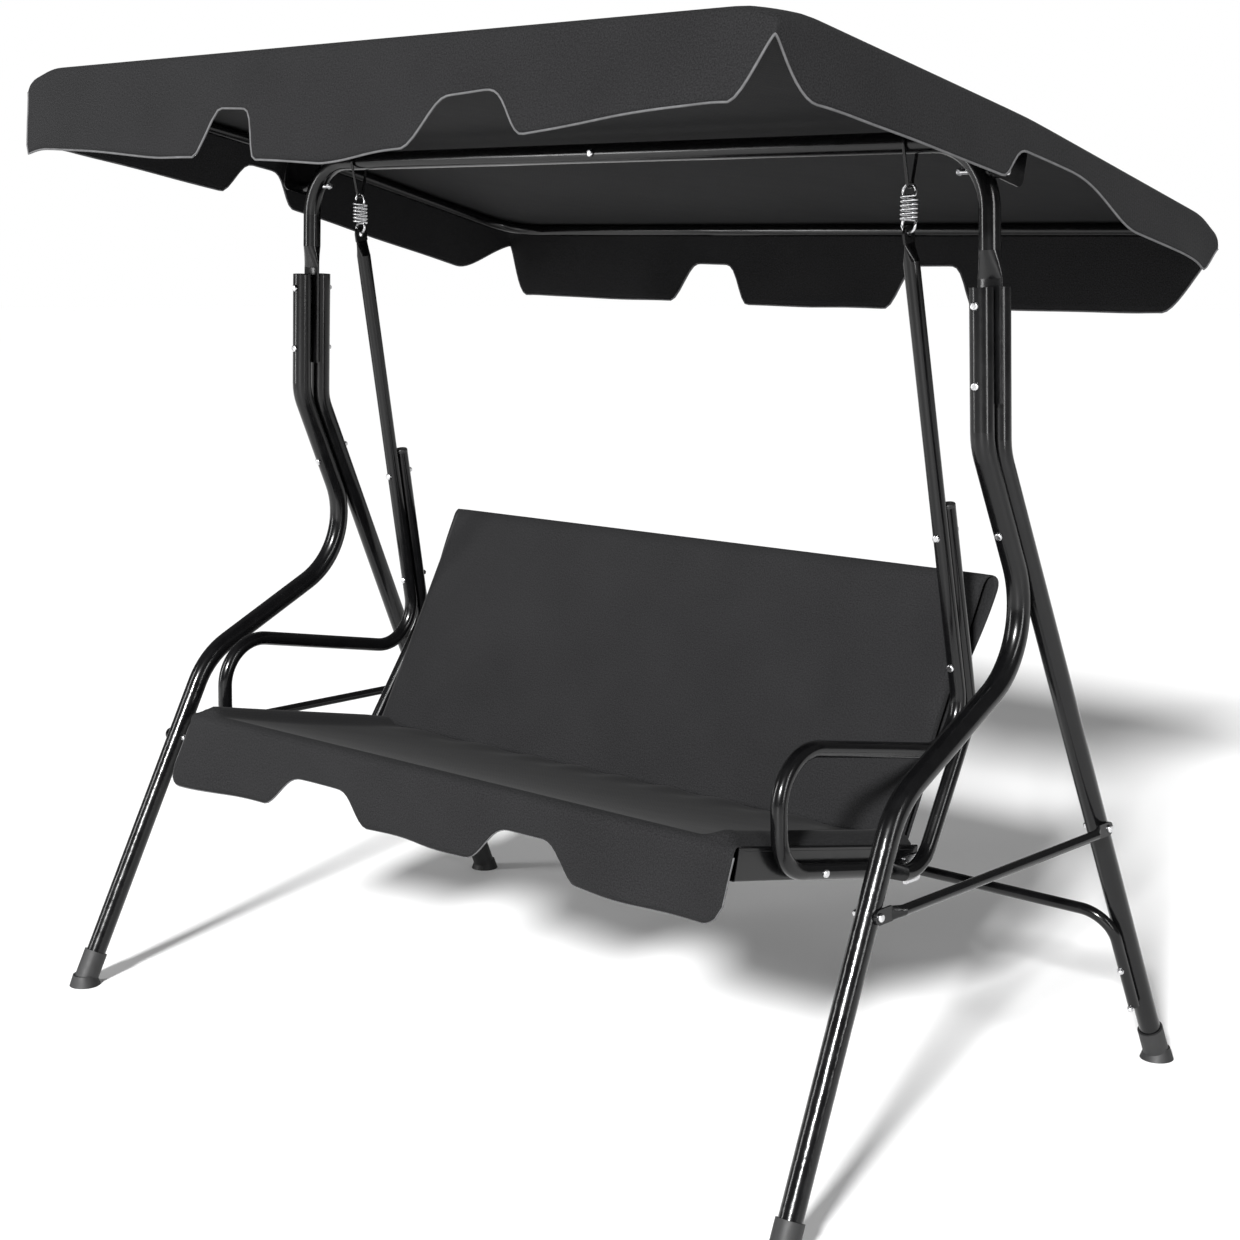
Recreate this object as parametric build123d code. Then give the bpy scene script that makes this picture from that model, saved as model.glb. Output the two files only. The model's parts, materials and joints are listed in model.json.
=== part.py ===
from build123d import *
import math
import os

# Three-seat canopy swing. Millimetres, +Z up, the sitters face -Y, +X is the right
# side as seen from the front. The origin is on the floor below the top crossbar.

# --- stand -------------------------------------------------------------------------
LEG_DIAMETER = 35.0
LEG_WALL = 1.5
LEG_TOP_HEIGHT = 1284.0
LEG_TOP_HALF_SPAN = 753.0       # X of the leg tops
SPLAY_ANGLE = 2.6               # the side frames lean outwards towards the floor
CROSSBAR_TAB = 10.0             # thickness of the crossbar's flattened ends
LEG_BEND_HEIGHT = 1060.0        # front leg: end of the upright stretch
LEG_BEND_RADIUS = 90.0
LEG_LEAN_ANGLE = 24.4           # both legs, below the first bend
FRONT_KNEE_HEIGHT = 755.0       # corner of the front leg's rear curve
FRONT_KNEE_RADIUS = 142.0
FRONT_ELBOW = (-246.0, 578.0)   # Y, Z of the corner of its forward curve
FRONT_ELBOW_RADIUS = 150.0
FRONT_FOOT_REACH = -527.0       # Y where the front legs meet the floor
LEG_GAP = 0.3                   # between the front and rear legs where they run together

FOOT_WALL = 3.5
FOOT_HEIGHT = 58.0
FOOT_SOLE = 7.0
FOOT_FLARE_RADIUS = 28.0
FOOT_FLARE_HEIGHT = 20.0

CROSSBAR_DIAMETER = 32.0
CROSSBAR_HEIGHT = 1489.0
CROSSBAR_BEND_RADIUS = 100.0
CROSSBAR_TAB_WIDTH = 42.0
CROSSBAR_TAB_END = 1118.0       # height of the lower end of the flattened stretch
CROSSBAR_NECK_LIFT = 12.0        # the flattened stretch starts this far above the legs
CROSSBAR_NECK_LENGTH = 40.0
SWAGE_LENGTH = 60.0             # right half's reduced end inside the left half
SWAGE_SHOULDER = 8.0
SWAGE_PLAY = 0.1
CROSSBAR_BOLT_X = -14.0

LEG_BOLT_HEIGHTS = (1258.0, 1145.0)
LOW_LEG_BOLT_HEIGHT = 940.0

BRACE_DIAMETER = 16.0
BRACE_HEIGHT = 436.0
BRACE_TAB_THICKNESS = 4.0
BRACE_TAB_WIDTH = 22.0
BRACE_TAB_LENGTH = 26.0
BRACE_FLATTENING = 22.0

STRETCHER_DIAMETER = 19.0
STRETCHER_HEIGHT = 283.0
STRETCHER_END_HEIGHT = 112.0
STRETCHER_BEND_RADIUS = 55.0
STRETCHER_BOLT_HEIGHTS = (196.0, 124.0)

# --- hanging seat ------------------------------------------------------------------
HANG_HALF_SPAN = 610.0          # X of the hooks and springs
HANGER_SPLAY = 0.033            # outward lean of the seat's side tubes, as a slope
HOOK_WIRE = 5.0
HOOK_CLEARANCE = 0.3
HOOK_LOOP_RADIUS = 6.0
HOOK_BOTTOM_HEIGHT = 1426.0     # centre of the wire at the lowest point of the hook
SPRING_WIRE = 4.0
SPRING_HOOK_WIRE = 3.9          # the end hooks, drawn slightly thinner than the coil
SPRING_MEAN_RADIUS = 11.5
SPRING_TURNS = 6
SPRING_PITCH = 6.2
SPRING_NECK = 5.0
SPRING_HOOK_CLOSE = 35.0        # each end hook turns this far past a half circle, degrees
SPRING_SEAT_GAP = 0.3
HANGER_EYE_PLAY = 0.8           # between the spring's lower loop and the eye's top

SEAT_TUBE_DIAMETER = 25.0
SEAT_TUBE_WALL = 1.5
HANGER_TAB_THICKNESS = 4.0
HANGER_TAB_WIDTH = 26.0
HANGER_EYE_RADIUS = 5.0
HANGER_EYE_MARGIN = 8.0
HANGER_FLATTENING = 26.0
ARM_KNEE = (150.0, 560.0)       # Y, Z of the corner where the hanger turns into the armrest
ARM_KNEE_RADIUS = 72.0
ARM_FRONT_Y = -318.0
ARM_FRONT_HEIGHTS = (646.0, 466.0)
ARM_FRONT_RADII = (78.0, 66.0)
ARM_END_Y = -62.0
UPRIGHT_SPACING = 25.3          # upright tube behind the hanger, centre to centre
UPRIGHT_TOP_HEIGHT = 948.0
UPRIGHT_KNEE_HEIGHT = 616.0
UPRIGHT_KNEE_RADIUS = 60.0
UPRIGHT_HEEL = (23.0, 392.0)    # Y, Z of the corner at the seat's rear
UPRIGHT_HEEL_RADIUS = 65.0
UPRIGHT_HEEL_OFFSET = 4.0
UPRIGHT_END_Y = -23.0
UPRIGHT_TAB_THICKNESS = 4.0
UPRIGHT_TAB_WIDTH = 24.0
UPRIGHT_FLATTENING = 9.0
JOIN_BOLT_HEIGHTS = (905.0, 700.0)
CAP_HEIGHT = 7.0
CAP_ROUNDING = 2.8

SEAT_FRONT = (-388.0, 503.0)    # Y, Z of the front bar's centre
SEAT_SLOPE_ANGLE = 11.5
SEAT_DEPTH = 421.6              # front bar to rear bar, along the slope
SIDE_BAR_WIDTH = 20.0
SIDE_BAR_HEIGHT = 50.0
SIDE_BAR_WALL = 1.5
SIDE_BAR_OUTER = 625.5          # X of the outer face
SIDE_BAR_FRONT = 6.0            # past the front bar's centre
SIDE_BAR_REAR = 18.0            # past the rear bar's centre
ARM_BOLT_YS = (-227.0, -84.0)
UPRIGHT_BOLT_Y = -38.0
BRACKET_THICKNESS = 3.0
BRACKET_LENGTH = 42.0
BRACKET_HEIGHT = 44.0
BRACKET_CORNER = 5.0
BRACKET_BOLT = (28.0, 388.0)    # Y, Z
BRACKET_LIFT = 6.0              # plate's centre above its bolt

BACK_RECLINE_ANGLE = 28.5
BACK_HEIGHT = 440.0             # rear bar to top bar, along the recline
BACK_TUBE_DIAMETER = 22.0
BACK_HALF_SPAN = 594.0
BACK_BEND_RADIUS = 60.0

# --- fabric ------------------------------------------------------------------------
FABRIC_GAP = 0.3
SEAT_FABRIC = 5.0
SEAT_FABRIC_HALF_WIDTH = 622.0
SEAT_VALANCE_DROP = 98.0
SEAT_VALANCE_THICKNESS = 3.0
SEAT_ARCH_CENTRES = (-300.0, 176.0)   # X
SEAT_ARCH = (115.0, 45.0, 55.0)      # foot half width, head half width, rise
SEAT_VALANCE_TOP = 4.0          # below the front bar's centre
BACK_FABRIC = 3.0
BACK_FABRIC_HALF_WIDTH = 612.0
BACK_FABRIC_LOWER = 22.0        # bottom hem above the rear bar's centre
CANOPY_FABRIC = 3.0
CANOPY_HALF_WIDTH = 806.0
VALANCE_DROP = 138.0
ARCH_RISE = 74.0
CORNER_DEPTH = 22.0             # depth of the valances at the roof's corners
# Scallops of the front and rear valances: centre X, foot and head half widths, rise.
FRONT_ARCHES = [(-262.0, 80.0, 34.0, ARCH_RISE), (266.0, 130.0, 50.0, ARCH_RISE)]
REAR_ARCHES = [(-280.0, 82.0, 34.0, ARCH_RISE), (232.0, 86.0, 38.0, ARCH_RISE)]
# Scallops of the side valances: roof half, centre, foot and head half widths.
SIDE_ARCHES = {
    "right": [("front", -60.0, 60.0, 26.0)],
    "left": [("front", -75.0, 60.0, 26.0)],
}
# How far the hem's climb to each corner reaches: left then right, or front then rear.
CORNER_CUTS = {
    "front": (45.0, 84.0),
    "rear": (61.0, 80.0),
    "right": (180.0, 35.0),
    "left": (80.0, 130.0),
}

# --- canopy frame ------------------------------------------------------------------
PIVOT_HEIGHT = 1446.0
CANOPY_TILT_ANGLE = 12.6        # front up, rear down
ROOF_FOLD_ANGLE = 1.35          # each half drops this much from the ridge
ROOF_RISE = 60.0                # frame tubes above the pivot
CANOPY_TUBE_DIAMETER = 22.0
CANOPY_TUBE_WALL = 1.2
CANOPY_BAR_X = 785.0
CANOPY_REACH_FRONT = 565.0
CANOPY_REACH_REAR = 572.0
CANOPY_BEND_RADIUS = 90.0
CANOPY_END_GAP = 2.0
FABRIC_OVERHANG = 17.0          # fabric edge past the centre of the front and rear bars
PLATE_THICKNESS = 3.0
PLATE_LENGTH = 92.0
PLATE_HEIGHT = 82.0
PLATE_CORNER = 12.0
PLATE_BELOW_PIVOT = 14.0
CANOPY_BOLT_Y = 28.0
PIVOT_BOLT_DIAMETER = 8.0
PIVOT_CLEARANCE = 0.08
PIVOT_BOLT_REACH = 55.0         # inner nut, inwards from the leg tops
LUG_DIAMETER = 20.0
LUG_DEPTH = 28.0                # the lug reaches this far inwards from the leg tops
PIVOT_GAP = 0.3

# --- fasteners ---------------------------------------------------------------------
BOLT_DIAMETER = 6.0
BOLT_HOLE_CLEARANCE = 0.15
HOLE_OVERRUN = 2.0              # cutters run past both faces
HEAD_RADIUS = 6.2
HEAD_HEIGHT = 4.0
HEAD_ROUNDING = 2.4
NUT_RADIUS = 5.6
NUT_HEIGHT = 7.0
NUT_HEX_HEIGHT = 3.85
NUT_DOME_RADIUS = 4.5
NUT_ROUNDING = 2.8


SEAM_ANGLE = 40.0               # turns the tubes' seam lines away from the holes


# --- helpers -----------------------------------------------------------------------
def tube(points, radii, diameter, wall):
    """A round tube along straight runs joined by tangent arcs."""
    path = FilletPolyline(*points, radius=radii) if radii else Polyline(*points)
    section = Rot(0, 0, SEAM_ANGLE) * (Circle(diameter / 2) - Circle(diameter / 2 - wall))
    return sweep(Plane(origin=path @ 0, z_dir=path % 0) * section, path=path)


def rod(start, end, radius):
    """A solid cylinder from one point to another."""
    run = Vector(*end) - Vector(*start)
    plane = Plane(origin=start, z_dir=run)
    return plane * Cylinder(radius, run.length, align=(Align.CENTER, Align.CENTER, Align.MIN))


def block(low, high):
    """A box between two corners."""
    size = [b - a for a, b in zip(low, high)]
    return Pos(*[(a + b) / 2 for a, b in zip(low, high)]) * Box(*size)


def bolt(start, end, diameter=BOLT_DIAMETER):
    """A button-head bolt with its head at start and a domed cap nut at end."""
    run = (Vector(*end) - Vector(*start)).normalized()
    shank = rod(start, end, diameter / 2)
    head = Plane(origin=start, z_dir=-run) * Cylinder(
        HEAD_RADIUS, HEAD_HEIGHT, align=(Align.CENTER, Align.CENTER, Align.MIN)
    )
    head = fillet(head.faces().sort_by(Axis(start, -run))[-1].edges(), HEAD_ROUNDING)
    nut_plane = Plane(origin=end, z_dir=run)
    nut = extrude(nut_plane * RegularPolygon(NUT_RADIUS, 6), NUT_HEX_HEIGHT)
    dome = nut_plane * Cylinder(
        NUT_DOME_RADIUS, NUT_HEIGHT, align=(Align.CENTER, Align.CENTER, Align.MIN)
    )
    dome = fillet(dome.faces().sort_by(Axis(end, run))[-1].edges(), NUT_ROUNDING)
    return shank + head + nut + dome


def bolt_hole(start, end, diameter=BOLT_DIAMETER):
    """The clearance hole that a bolt from start to end passes through."""
    run = (Vector(*end) - Vector(*start)).normalized() * HOLE_OVERRUN
    ends = Vector(*start) - run, Vector(*end) + run
    return rod(*ends, diameter / 2 + BOLT_HOLE_CLEARANCE)


def both_sides(shape):
    """The right-hand piece and its mirror image on the left."""
    return shape, mirror(shape, about=Plane.YZ)


def group(shapes):
    """Separate solids of one kind kept together in one node."""
    return Compound(children=[solid for shape in shapes for solid in shape.solids()])


def wavy_hem(half, drop, arches, cuts=(0.0, 0.0)):
    """The outline of a hanging strip: straight top at 0, scalloped hem at -drop.

    Each arch is (centre, foot half width, head half width, rise). The cuts are the
    widths over which the hem climbs towards the strip's left and right ends."""
    points = [(-half, 0.0), (-half, -CORNER_DEPTH if cuts[0] else -drop)]
    points.append((cuts[0] - half, -drop))
    for centre, foot, head, rise in arches:
        points += [
            (centre - foot, -drop),
            (centre - head, -drop + rise),
            (centre + head, -drop + rise),
            (centre + foot, -drop),
        ]
    points.append((half - cuts[1], -drop))
    points += [(half, -CORNER_DEPTH if cuts[1] else -drop), (half, 0.0)]
    outline = [a for a, b in zip(points, points[1:]) if a != b] + points[-1:]
    return make_face(Polyline(*outline, close=True))


# --- side frame --------------------------------------------------------------------
SPLAY = math.tan(math.radians(SPLAY_ANGLE))
LEAN = math.tan(math.radians(LEG_LEAN_ANGLE))
LEAN_COS = math.cos(math.radians(LEG_LEAN_ANGLE))
LEAN_SIN = math.sin(math.radians(LEG_LEAN_ANGLE))
LEG_TOP_SPACING = LEG_DIAMETER + CROSSBAR_TAB
FRONT_TOP_Y = -LEG_TOP_SPACING / 2
REAR_TOP_Y = LEG_TOP_SPACING / 2


def side_point(y, z, offset=0.0):
    """A point of the splayed right side frame's plane."""
    return (LEG_TOP_HALF_SPAN + offset + (LEG_TOP_HEIGHT - z) * SPLAY, y, z)


OUTWARD = Vector(1, 0, SPLAY).normalized()   # square to the right side frame

# Below the bends both legs run parallel, LEG_DIAMETER + LEG_GAP apart.
REAR_BEND_HEIGHT = (
    LEG_BEND_HEIGHT - (LEG_TOP_SPACING * LEAN_COS - LEG_DIAMETER - LEG_GAP) / LEAN_SIN
)


def front_lean_y(z):
    """Y of the front leg's centre on its upper leaning stretch."""
    return FRONT_TOP_Y + (LEG_BEND_HEIGHT - z) * LEAN


def rear_lean_y(z):
    """Y of the rear leg's centre below its bend."""
    return REAR_TOP_Y + (REAR_BEND_HEIGHT - z) * LEAN


FRONT_KNEE_Y = front_lean_y(FRONT_KNEE_HEIGHT)
FRONT_SLOPE = (FRONT_ELBOW[0] - FRONT_FOOT_REACH) / FRONT_ELBOW[1]


def front_low_y(z):
    """Y of the front leg's centre on its straight lower stretch."""
    return FRONT_FOOT_REACH + z * FRONT_SLOPE


def leg_end(y_of_height):
    """Point of a leg's centre line where the tube stands on the foot's sole."""
    return side_point(y_of_height(FOOT_SOLE), FOOT_SOLE)


def front_leg_points():
    return [
        side_point(FRONT_TOP_Y, LEG_TOP_HEIGHT),
        side_point(FRONT_TOP_Y, LEG_BEND_HEIGHT),
        side_point(FRONT_KNEE_Y, FRONT_KNEE_HEIGHT),
        side_point(*FRONT_ELBOW),
        leg_end(front_low_y),
    ]


def rear_leg_points():
    return [
        side_point(REAR_TOP_Y, LEG_TOP_HEIGHT),
        side_point(REAR_TOP_Y, REAR_BEND_HEIGHT),
        leg_end(rear_lean_y),
    ]


def leg_bolt_spans():
    """Start and end of the right-hand bolts that clamp the legs to the crossbar."""
    reach = LEG_TOP_SPACING / 2 + LEG_DIAMETER / 2
    spans = [(side_point(-reach, z), side_point(reach, z)) for z in LEG_BOLT_HEIGHTS]
    z = LOW_LEG_BOLT_HEIGHT
    middle = (front_lean_y(z) + (LEG_DIAMETER + LEG_GAP) / 2 / LEAN_COS, z)
    half = LEG_DIAMETER + LEG_GAP / 2
    ends = [
        side_point(middle[0] + s * half * LEAN_COS, middle[1] + s * half * LEAN_SIN)
        for s in (-1, 1)
    ]
    return spans + [tuple(ends)]


def brace_bolt_spans():
    """Start and end of the right-hand bolts through the brace's flattened ends."""
    z = BRACE_HEIGHT
    inner = -LEG_DIAMETER / 2
    outer = LEG_DIAMETER / 2 + BRACE_TAB_THICKNESS
    middles = [Vector(*side_point(y, z)) for y in (front_low_y(z), rear_lean_y(z))]
    return [(at + OUTWARD * outer, at + OUTWARD * inner) for at in middles]


STRETCHER_OFFSET = (LEG_DIAMETER + STRETCHER_DIAMETER) / 2


def stretcher_y(z):
    """Y of the stretcher's ends, which lie along the front of the rear legs."""
    return rear_lean_y(z) - STRETCHER_OFFSET / LEAN_COS


def stretcher_bolt_spans():
    """Start and end of the right-hand bolts through rear leg and stretcher."""
    rear = LEG_DIAMETER / 2
    front = STRETCHER_OFFSET + STRETCHER_DIAMETER / 2
    spans = []
    for z in STRETCHER_BOLT_HEIGHTS:
        y = rear_lean_y(z)
        spans.append((
            side_point(y + rear * LEAN_COS, z + rear * LEAN_SIN),
            side_point(y - front * LEAN_COS, z - front * LEAN_SIN),
        ))
    return spans


def front_leg():
    radii = [LEG_BEND_RADIUS, FRONT_KNEE_RADIUS, FRONT_ELBOW_RADIUS]
    leg = tube(front_leg_points(), radii, LEG_DIAMETER, LEG_WALL)
    for span in leg_bolt_spans() + brace_bolt_spans()[:1]:
        leg -= bolt_hole(*span)
    return leg


def rear_leg():
    leg = tube(rear_leg_points(), [LEG_BEND_RADIUS], LEG_DIAMETER, LEG_WALL)
    for span in leg_bolt_spans() + brace_bolt_spans()[1:] + stretcher_bolt_spans():
        leg -= bolt_hole(*span)
    return leg


def foot_cap(y_of_height):
    """A rubber cup on a leg's end, with a flared sole flat on the floor."""
    low, high = (side_point(y_of_height(z), z) for z in (-FOOT_HEIGHT, FOOT_HEIGHT))
    end = leg_end(y_of_height)
    sleeve = rod(low, high, LEG_DIAMETER / 2 + FOOT_WALL)
    base = side_point(y_of_height(FOOT_SOLE), 0)
    flare = Pos(*base) * Cone(
        FOOT_FLARE_RADIUS,
        LEG_DIAMETER / 2 + FOOT_WALL,
        FOOT_FLARE_HEIGHT,
        align=(Align.CENTER, Align.CENTER, Align.MIN),
    )
    wide = 4 * FOOT_HEIGHT
    above_floor = Pos(*base) * Box(
        wide, wide, wide, align=(Align.CENTER, Align.CENTER, Align.MIN)
    )
    cup = (sleeve + flare) & above_floor
    return cup - rod(end, side_point(y_of_height(wide), wide), LEG_DIAMETER / 2)


def flattened_end(centre, along, tube_radius, length, wide, thin, wide_dir):
    """The stretch where a round tube is pressed flat: circle to ellipse."""
    along = Vector(*along).normalized()
    start = Vector(*centre)
    round_plane = Plane(origin=start, x_dir=wide_dir, z_dir=along)
    flat_plane = Plane(origin=start + along * length, x_dir=wide_dir, z_dir=along)
    sections = [round_plane * Circle(tube_radius), flat_plane * Ellipse(wide / 2, thin / 2)]
    return loft(Sketch() + sections)


def side_brace():
    """A tube between the legs with both ends pressed flat and bolted on outside."""
    shift = LEG_DIAMETER / 2 + BRACE_TAB_THICKNESS / 2
    z = BRACE_HEIGHT
    rearward = Vector(0, 1, 0)
    up = OUTWARD.cross(rearward)
    lift = OUTWARD * ((BRACE_DIAMETER - BRACE_TAB_THICKNESS) / 2)
    brace = None
    starts = []
    for y, sign in ((front_low_y(z), 1), (rear_lean_y(z), -1)):
        along = rearward * sign
        end = Vector(*side_point(y, z)) + OUTWARD * shift
        neck = end + along * BRACE_TAB_LENGTH
        shoulder = neck + along * BRACE_FLATTENING + lift
        flat_plane = Plane(origin=neck, x_dir=up, z_dir=along)
        round_plane = Plane(origin=shoulder, x_dir=up, z_dir=along)
        flat = flat_plane * Ellipse(BRACE_TAB_WIDTH / 2, BRACE_TAB_THICKNESS / 2)
        pressed = loft(Sketch() + [flat, round_plane * Circle(BRACE_DIAMETER / 2)])
        tab_plane = Plane(origin=(end + neck) * 0.5, x_dir=rearward, z_dir=OUTWARD)
        tab = tab_plane * SlotCenterToCenter(BRACE_TAB_LENGTH, BRACE_TAB_WIDTH)
        tail = pressed + extrude(tab, BRACE_TAB_THICKNESS / 2, both=True)
        brace = tail if brace is None else brace + tail
        starts.append(shoulder)
    brace += tube(starts, None, BRACE_DIAMETER, SEAT_TUBE_WALL)
    for span in brace_bolt_spans():
        brace -= bolt_hole(*span)
    return brace


def rear_stretcher():
    """An inverted-U tube between the rear legs."""
    z_end, z_run = STRETCHER_END_HEIGHT, STRETCHER_HEIGHT
    end = side_point(stretcher_y(z_end), z_end)
    corner = side_point(stretcher_y(z_run), z_run)
    points = [end, corner, (-corner[0], corner[1], corner[2]), (-end[0], end[1], end[2])]
    bar = tube(points, [STRETCHER_BEND_RADIUS] * 2, STRETCHER_DIAMETER, LEG_WALL)
    for span in stretcher_bolt_spans():
        for side in both_sides(bolt_hole(*span)):
            bar -= side
    return bar


# --- top crossbar ------------------------------------------------------------------
def pivot_bolt_span():
    """The right-hand canopy pivot bolt, from its outer head to its inner nut."""
    outer = CANOPY_BAR_X - CANOPY_TUBE_DIAMETER / 2 + PIVOT_GAP
    inner = LEG_TOP_HALF_SPAN - PIVOT_BOLT_REACH
    return (outer, 0, PIVOT_HEIGHT), (inner, 0, PIVOT_HEIGHT)


def crossbar_bolt_span():
    reach = CROSSBAR_DIAMETER / 2
    x = CROSSBAR_BOLT_X
    return (x, -reach, CROSSBAR_HEIGHT), (x, reach, CROSSBAR_HEIGHT)


def top_crossbar():
    """Right half: crossbar tube, bend, pivot lug and the flattened lower end."""
    corner = side_point(0, CROSSBAR_HEIGHT)
    shoulder = LEG_TOP_HEIGHT + CROSSBAR_NECK_LIFT
    round_end = shoulder + CROSSBAR_NECK_LENGTH
    points = [(0, 0, CROSSBAR_HEIGHT), corner, side_point(0, round_end)]
    bar = tube(points, [CROSSBAR_BEND_RADIUS], CROSSBAR_DIAMETER, LEG_WALL)
    down = Vector(SPLAY, 0, -1)
    length = (round_end - shoulder) * math.sqrt(1 + SPLAY**2)
    radius = CROSSBAR_DIAMETER / 2
    neck = flattened_end(
        side_point(0, round_end), down, radius, length,
        CROSSBAR_TAB_WIDTH, CROSSBAR_TAB, (1, 0, SPLAY),
    )
    tab_plane = Plane(origin=side_point(0, shoulder), x_dir=(1, 0, SPLAY), z_dir=down)
    flat = tab_plane * Ellipse(CROSSBAR_TAB_WIDTH / 2, CROSSBAR_TAB / 2)
    tab = extrude(flat, shoulder - CROSSBAR_TAB_END)
    lug_start = (LEG_TOP_HALF_SPAN - LUG_DEPTH, 0, PIVOT_HEIGHT)
    lug_face = CANOPY_BAR_X - CANOPY_TUBE_DIAMETER / 2 - PLATE_THICKNESS - PIVOT_GAP
    lug = rod(lug_start, (lug_face, 0, PIVOT_HEIGHT), LUG_DIAMETER / 2)
    bar = bar + neck + tab + lug
    for span in leg_bolt_spans()[:2]:
        bar -= bolt_hole(*span)
    return bar - bolt_hole(*pivot_bolt_span(), PIVOT_BOLT_DIAMETER)


def crossbar_swage():
    """The reduced end of the right half, which fits inside the left half."""
    bore = CROSSBAR_DIAMETER - 2 * LEG_WALL
    marks = (-SWAGE_LENGTH, 0, SWAGE_SHOULDER)
    tip, root, shoulder = [(x, 0, CROSSBAR_HEIGHT) for x in marks]
    neck = tube([root, shoulder], None, bore + LEG_WALL, 2 * LEG_WALL)
    return tube([tip, root], None, bore - 2 * SWAGE_PLAY, LEG_WALL) + neck


# --- hooks and springs -------------------------------------------------------------
def hook():
    """A closed teardrop of wire over the crossbar, in the plane of the swing."""
    top_radius = CROSSBAR_DIAMETER / 2 + HOOK_CLEARANCE + HOOK_WIRE / 2
    low_radius = HOOK_LOOP_RADIUS
    low_centre = HOOK_BOTTOM_HEIGHT + low_radius
    rise = CROSSBAR_HEIGHT - low_centre
    tilt = -math.asin((top_radius - low_radius) / rise)

    def at(centre, radius, angle):
        y = radius * math.cos(angle)
        return (HANG_HALF_SPAN, y, centre + radius * math.sin(angle))

    half = math.pi / 2
    top = [at(CROSSBAR_HEIGHT, top_radius, a) for a in (tilt, half, math.pi - tilt)]
    low = [at(low_centre, low_radius, a) for a in (math.pi - tilt, -half, tilt)]
    loop = Wire([
        ThreePointArc(*top).edge(),
        Line(top[2], low[0]).edge(),
        ThreePointArc(*low).edge(),
        Line(low[2], top[0]).edge(),
    ])
    start = Plane(origin=loop @ 0, z_dir=loop % 0)
    return sweep(start * Circle(HOOK_WIRE / 2), path=loop)


SPRING_TOP_WIRE = HOOK_BOTTOM_HEIGHT + (HOOK_WIRE + SPRING_WIRE) / 2 + SPRING_SEAT_GAP
COIL_LENGTH = SPRING_TURNS * SPRING_PITCH
COIL_TOP = SPRING_TOP_WIRE - SPRING_MEAN_RADIUS - SPRING_NECK
COIL_BOTTOM = COIL_TOP - COIL_LENGTH
SPRING_LOW_WIRE = COIL_BOTTOM - SPRING_NECK - SPRING_MEAN_RADIUS
HANGER_EYE_HEIGHT = SPRING_LOW_WIRE + SPRING_WIRE / 2 + HANGER_EYE_PLAY - HANGER_EYE_RADIUS


def spring_hook(z_coil, direction):
    """One end hook of the spring: a neck up from the coil and a round loop."""
    x, r = HANG_HALF_SPAN, SPRING_MEAN_RADIUS
    z_arc = z_coil + direction * SPRING_NECK
    close = math.radians(-SPRING_HOOK_CLOSE)
    start = (x + r, 0, z_coil)
    neck_end = (x + r, 0, z_arc)
    top = (x, 0, z_arc + direction * r)
    tip = (x - r * math.cos(close), 0, z_arc + direction * r * math.sin(close))
    path = Wire([Line(start, neck_end).edge(), ThreePointArc(neck_end, top, tip).edge()])
    plane = Plane(origin=start, z_dir=(0, 0, direction))
    return sweep(plane * Circle(SPRING_HOOK_WIRE / 2), path=path)


def spring():
    """A close-wound extension spring with a hook at each end."""
    place = Pos(HANG_HALF_SPAN, 0, COIL_BOTTOM)
    path = place * Helix(SPRING_PITCH, COIL_LENGTH, SPRING_MEAN_RADIUS)
    start = Plane(origin=path @ 0, z_dir=path % 0)
    coil = sweep(start * Circle(SPRING_WIRE / 2), path=path)
    return coil + spring_hook(COIL_TOP, 1) + spring_hook(COIL_BOTTOM, -1)


# --- seat side tubes ---------------------------------------------------------------
SLOPE_SIN = math.sin(math.radians(SEAT_SLOPE_ANGLE))
SLOPE_COS = math.cos(math.radians(SEAT_SLOPE_ANGLE))
SLOPE = SLOPE_SIN / SLOPE_COS
HANGER_LEAN = ARM_KNEE[0] / (HANGER_EYE_HEIGHT - ARM_KNEE[1])


def hang_point(y, z, offset=0.0):
    """A point of the right-hand seat side's plane."""
    return (HANG_HALF_SPAN + offset + (HANGER_EYE_HEIGHT - z) * HANGER_SPLAY, y, z)


def hanger_y(z):
    """Y of the hanger's centre line."""
    return (HANGER_EYE_HEIGHT - z) * HANGER_LEAN


def upright_y(z):
    """Y of the upright's centre line behind the hanger."""
    return hanger_y(z) + UPRIGHT_SPACING * math.sqrt(1 + HANGER_LEAN**2)


SIDE_BAR_INNER = SIDE_BAR_OUTER - SIDE_BAR_WIDTH
UPRIGHT_TAB_X = SIDE_BAR_OUTER + FABRIC_GAP + UPRIGHT_TAB_THICKNESS / 2


def upright_low_z(y):
    """Height of the upright's lower end, parallel to the seat."""
    return UPRIGHT_HEEL[1] + (UPRIGHT_HEEL[0] - y) * SLOPE


def arm_low_z(y):
    """Height of the armrest tube's lower run, parallel to the seat."""
    return ARM_FRONT_HEIGHTS[1] - (y - ARM_FRONT_Y) * SLOPE


def arm_bolt_spans():
    """Start and end of the right-hand bolts into the side bar: two hold the armrest
    tube's lower run, and the last one holds the upright's flattened end."""
    spans = []
    for y in ARM_BOLT_YS:
        z = arm_low_z(y)
        spans.append((hang_point(y, z, SEAT_TUBE_DIAMETER / 2), (SIDE_BAR_INNER, y, z)))
    y, z = UPRIGHT_BOLT_Y, upright_low_z(UPRIGHT_BOLT_Y)
    spans.append(((UPRIGHT_TAB_X + UPRIGHT_TAB_THICKNESS / 2, y, z), (SIDE_BAR_INNER, y, z)))
    return spans


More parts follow.
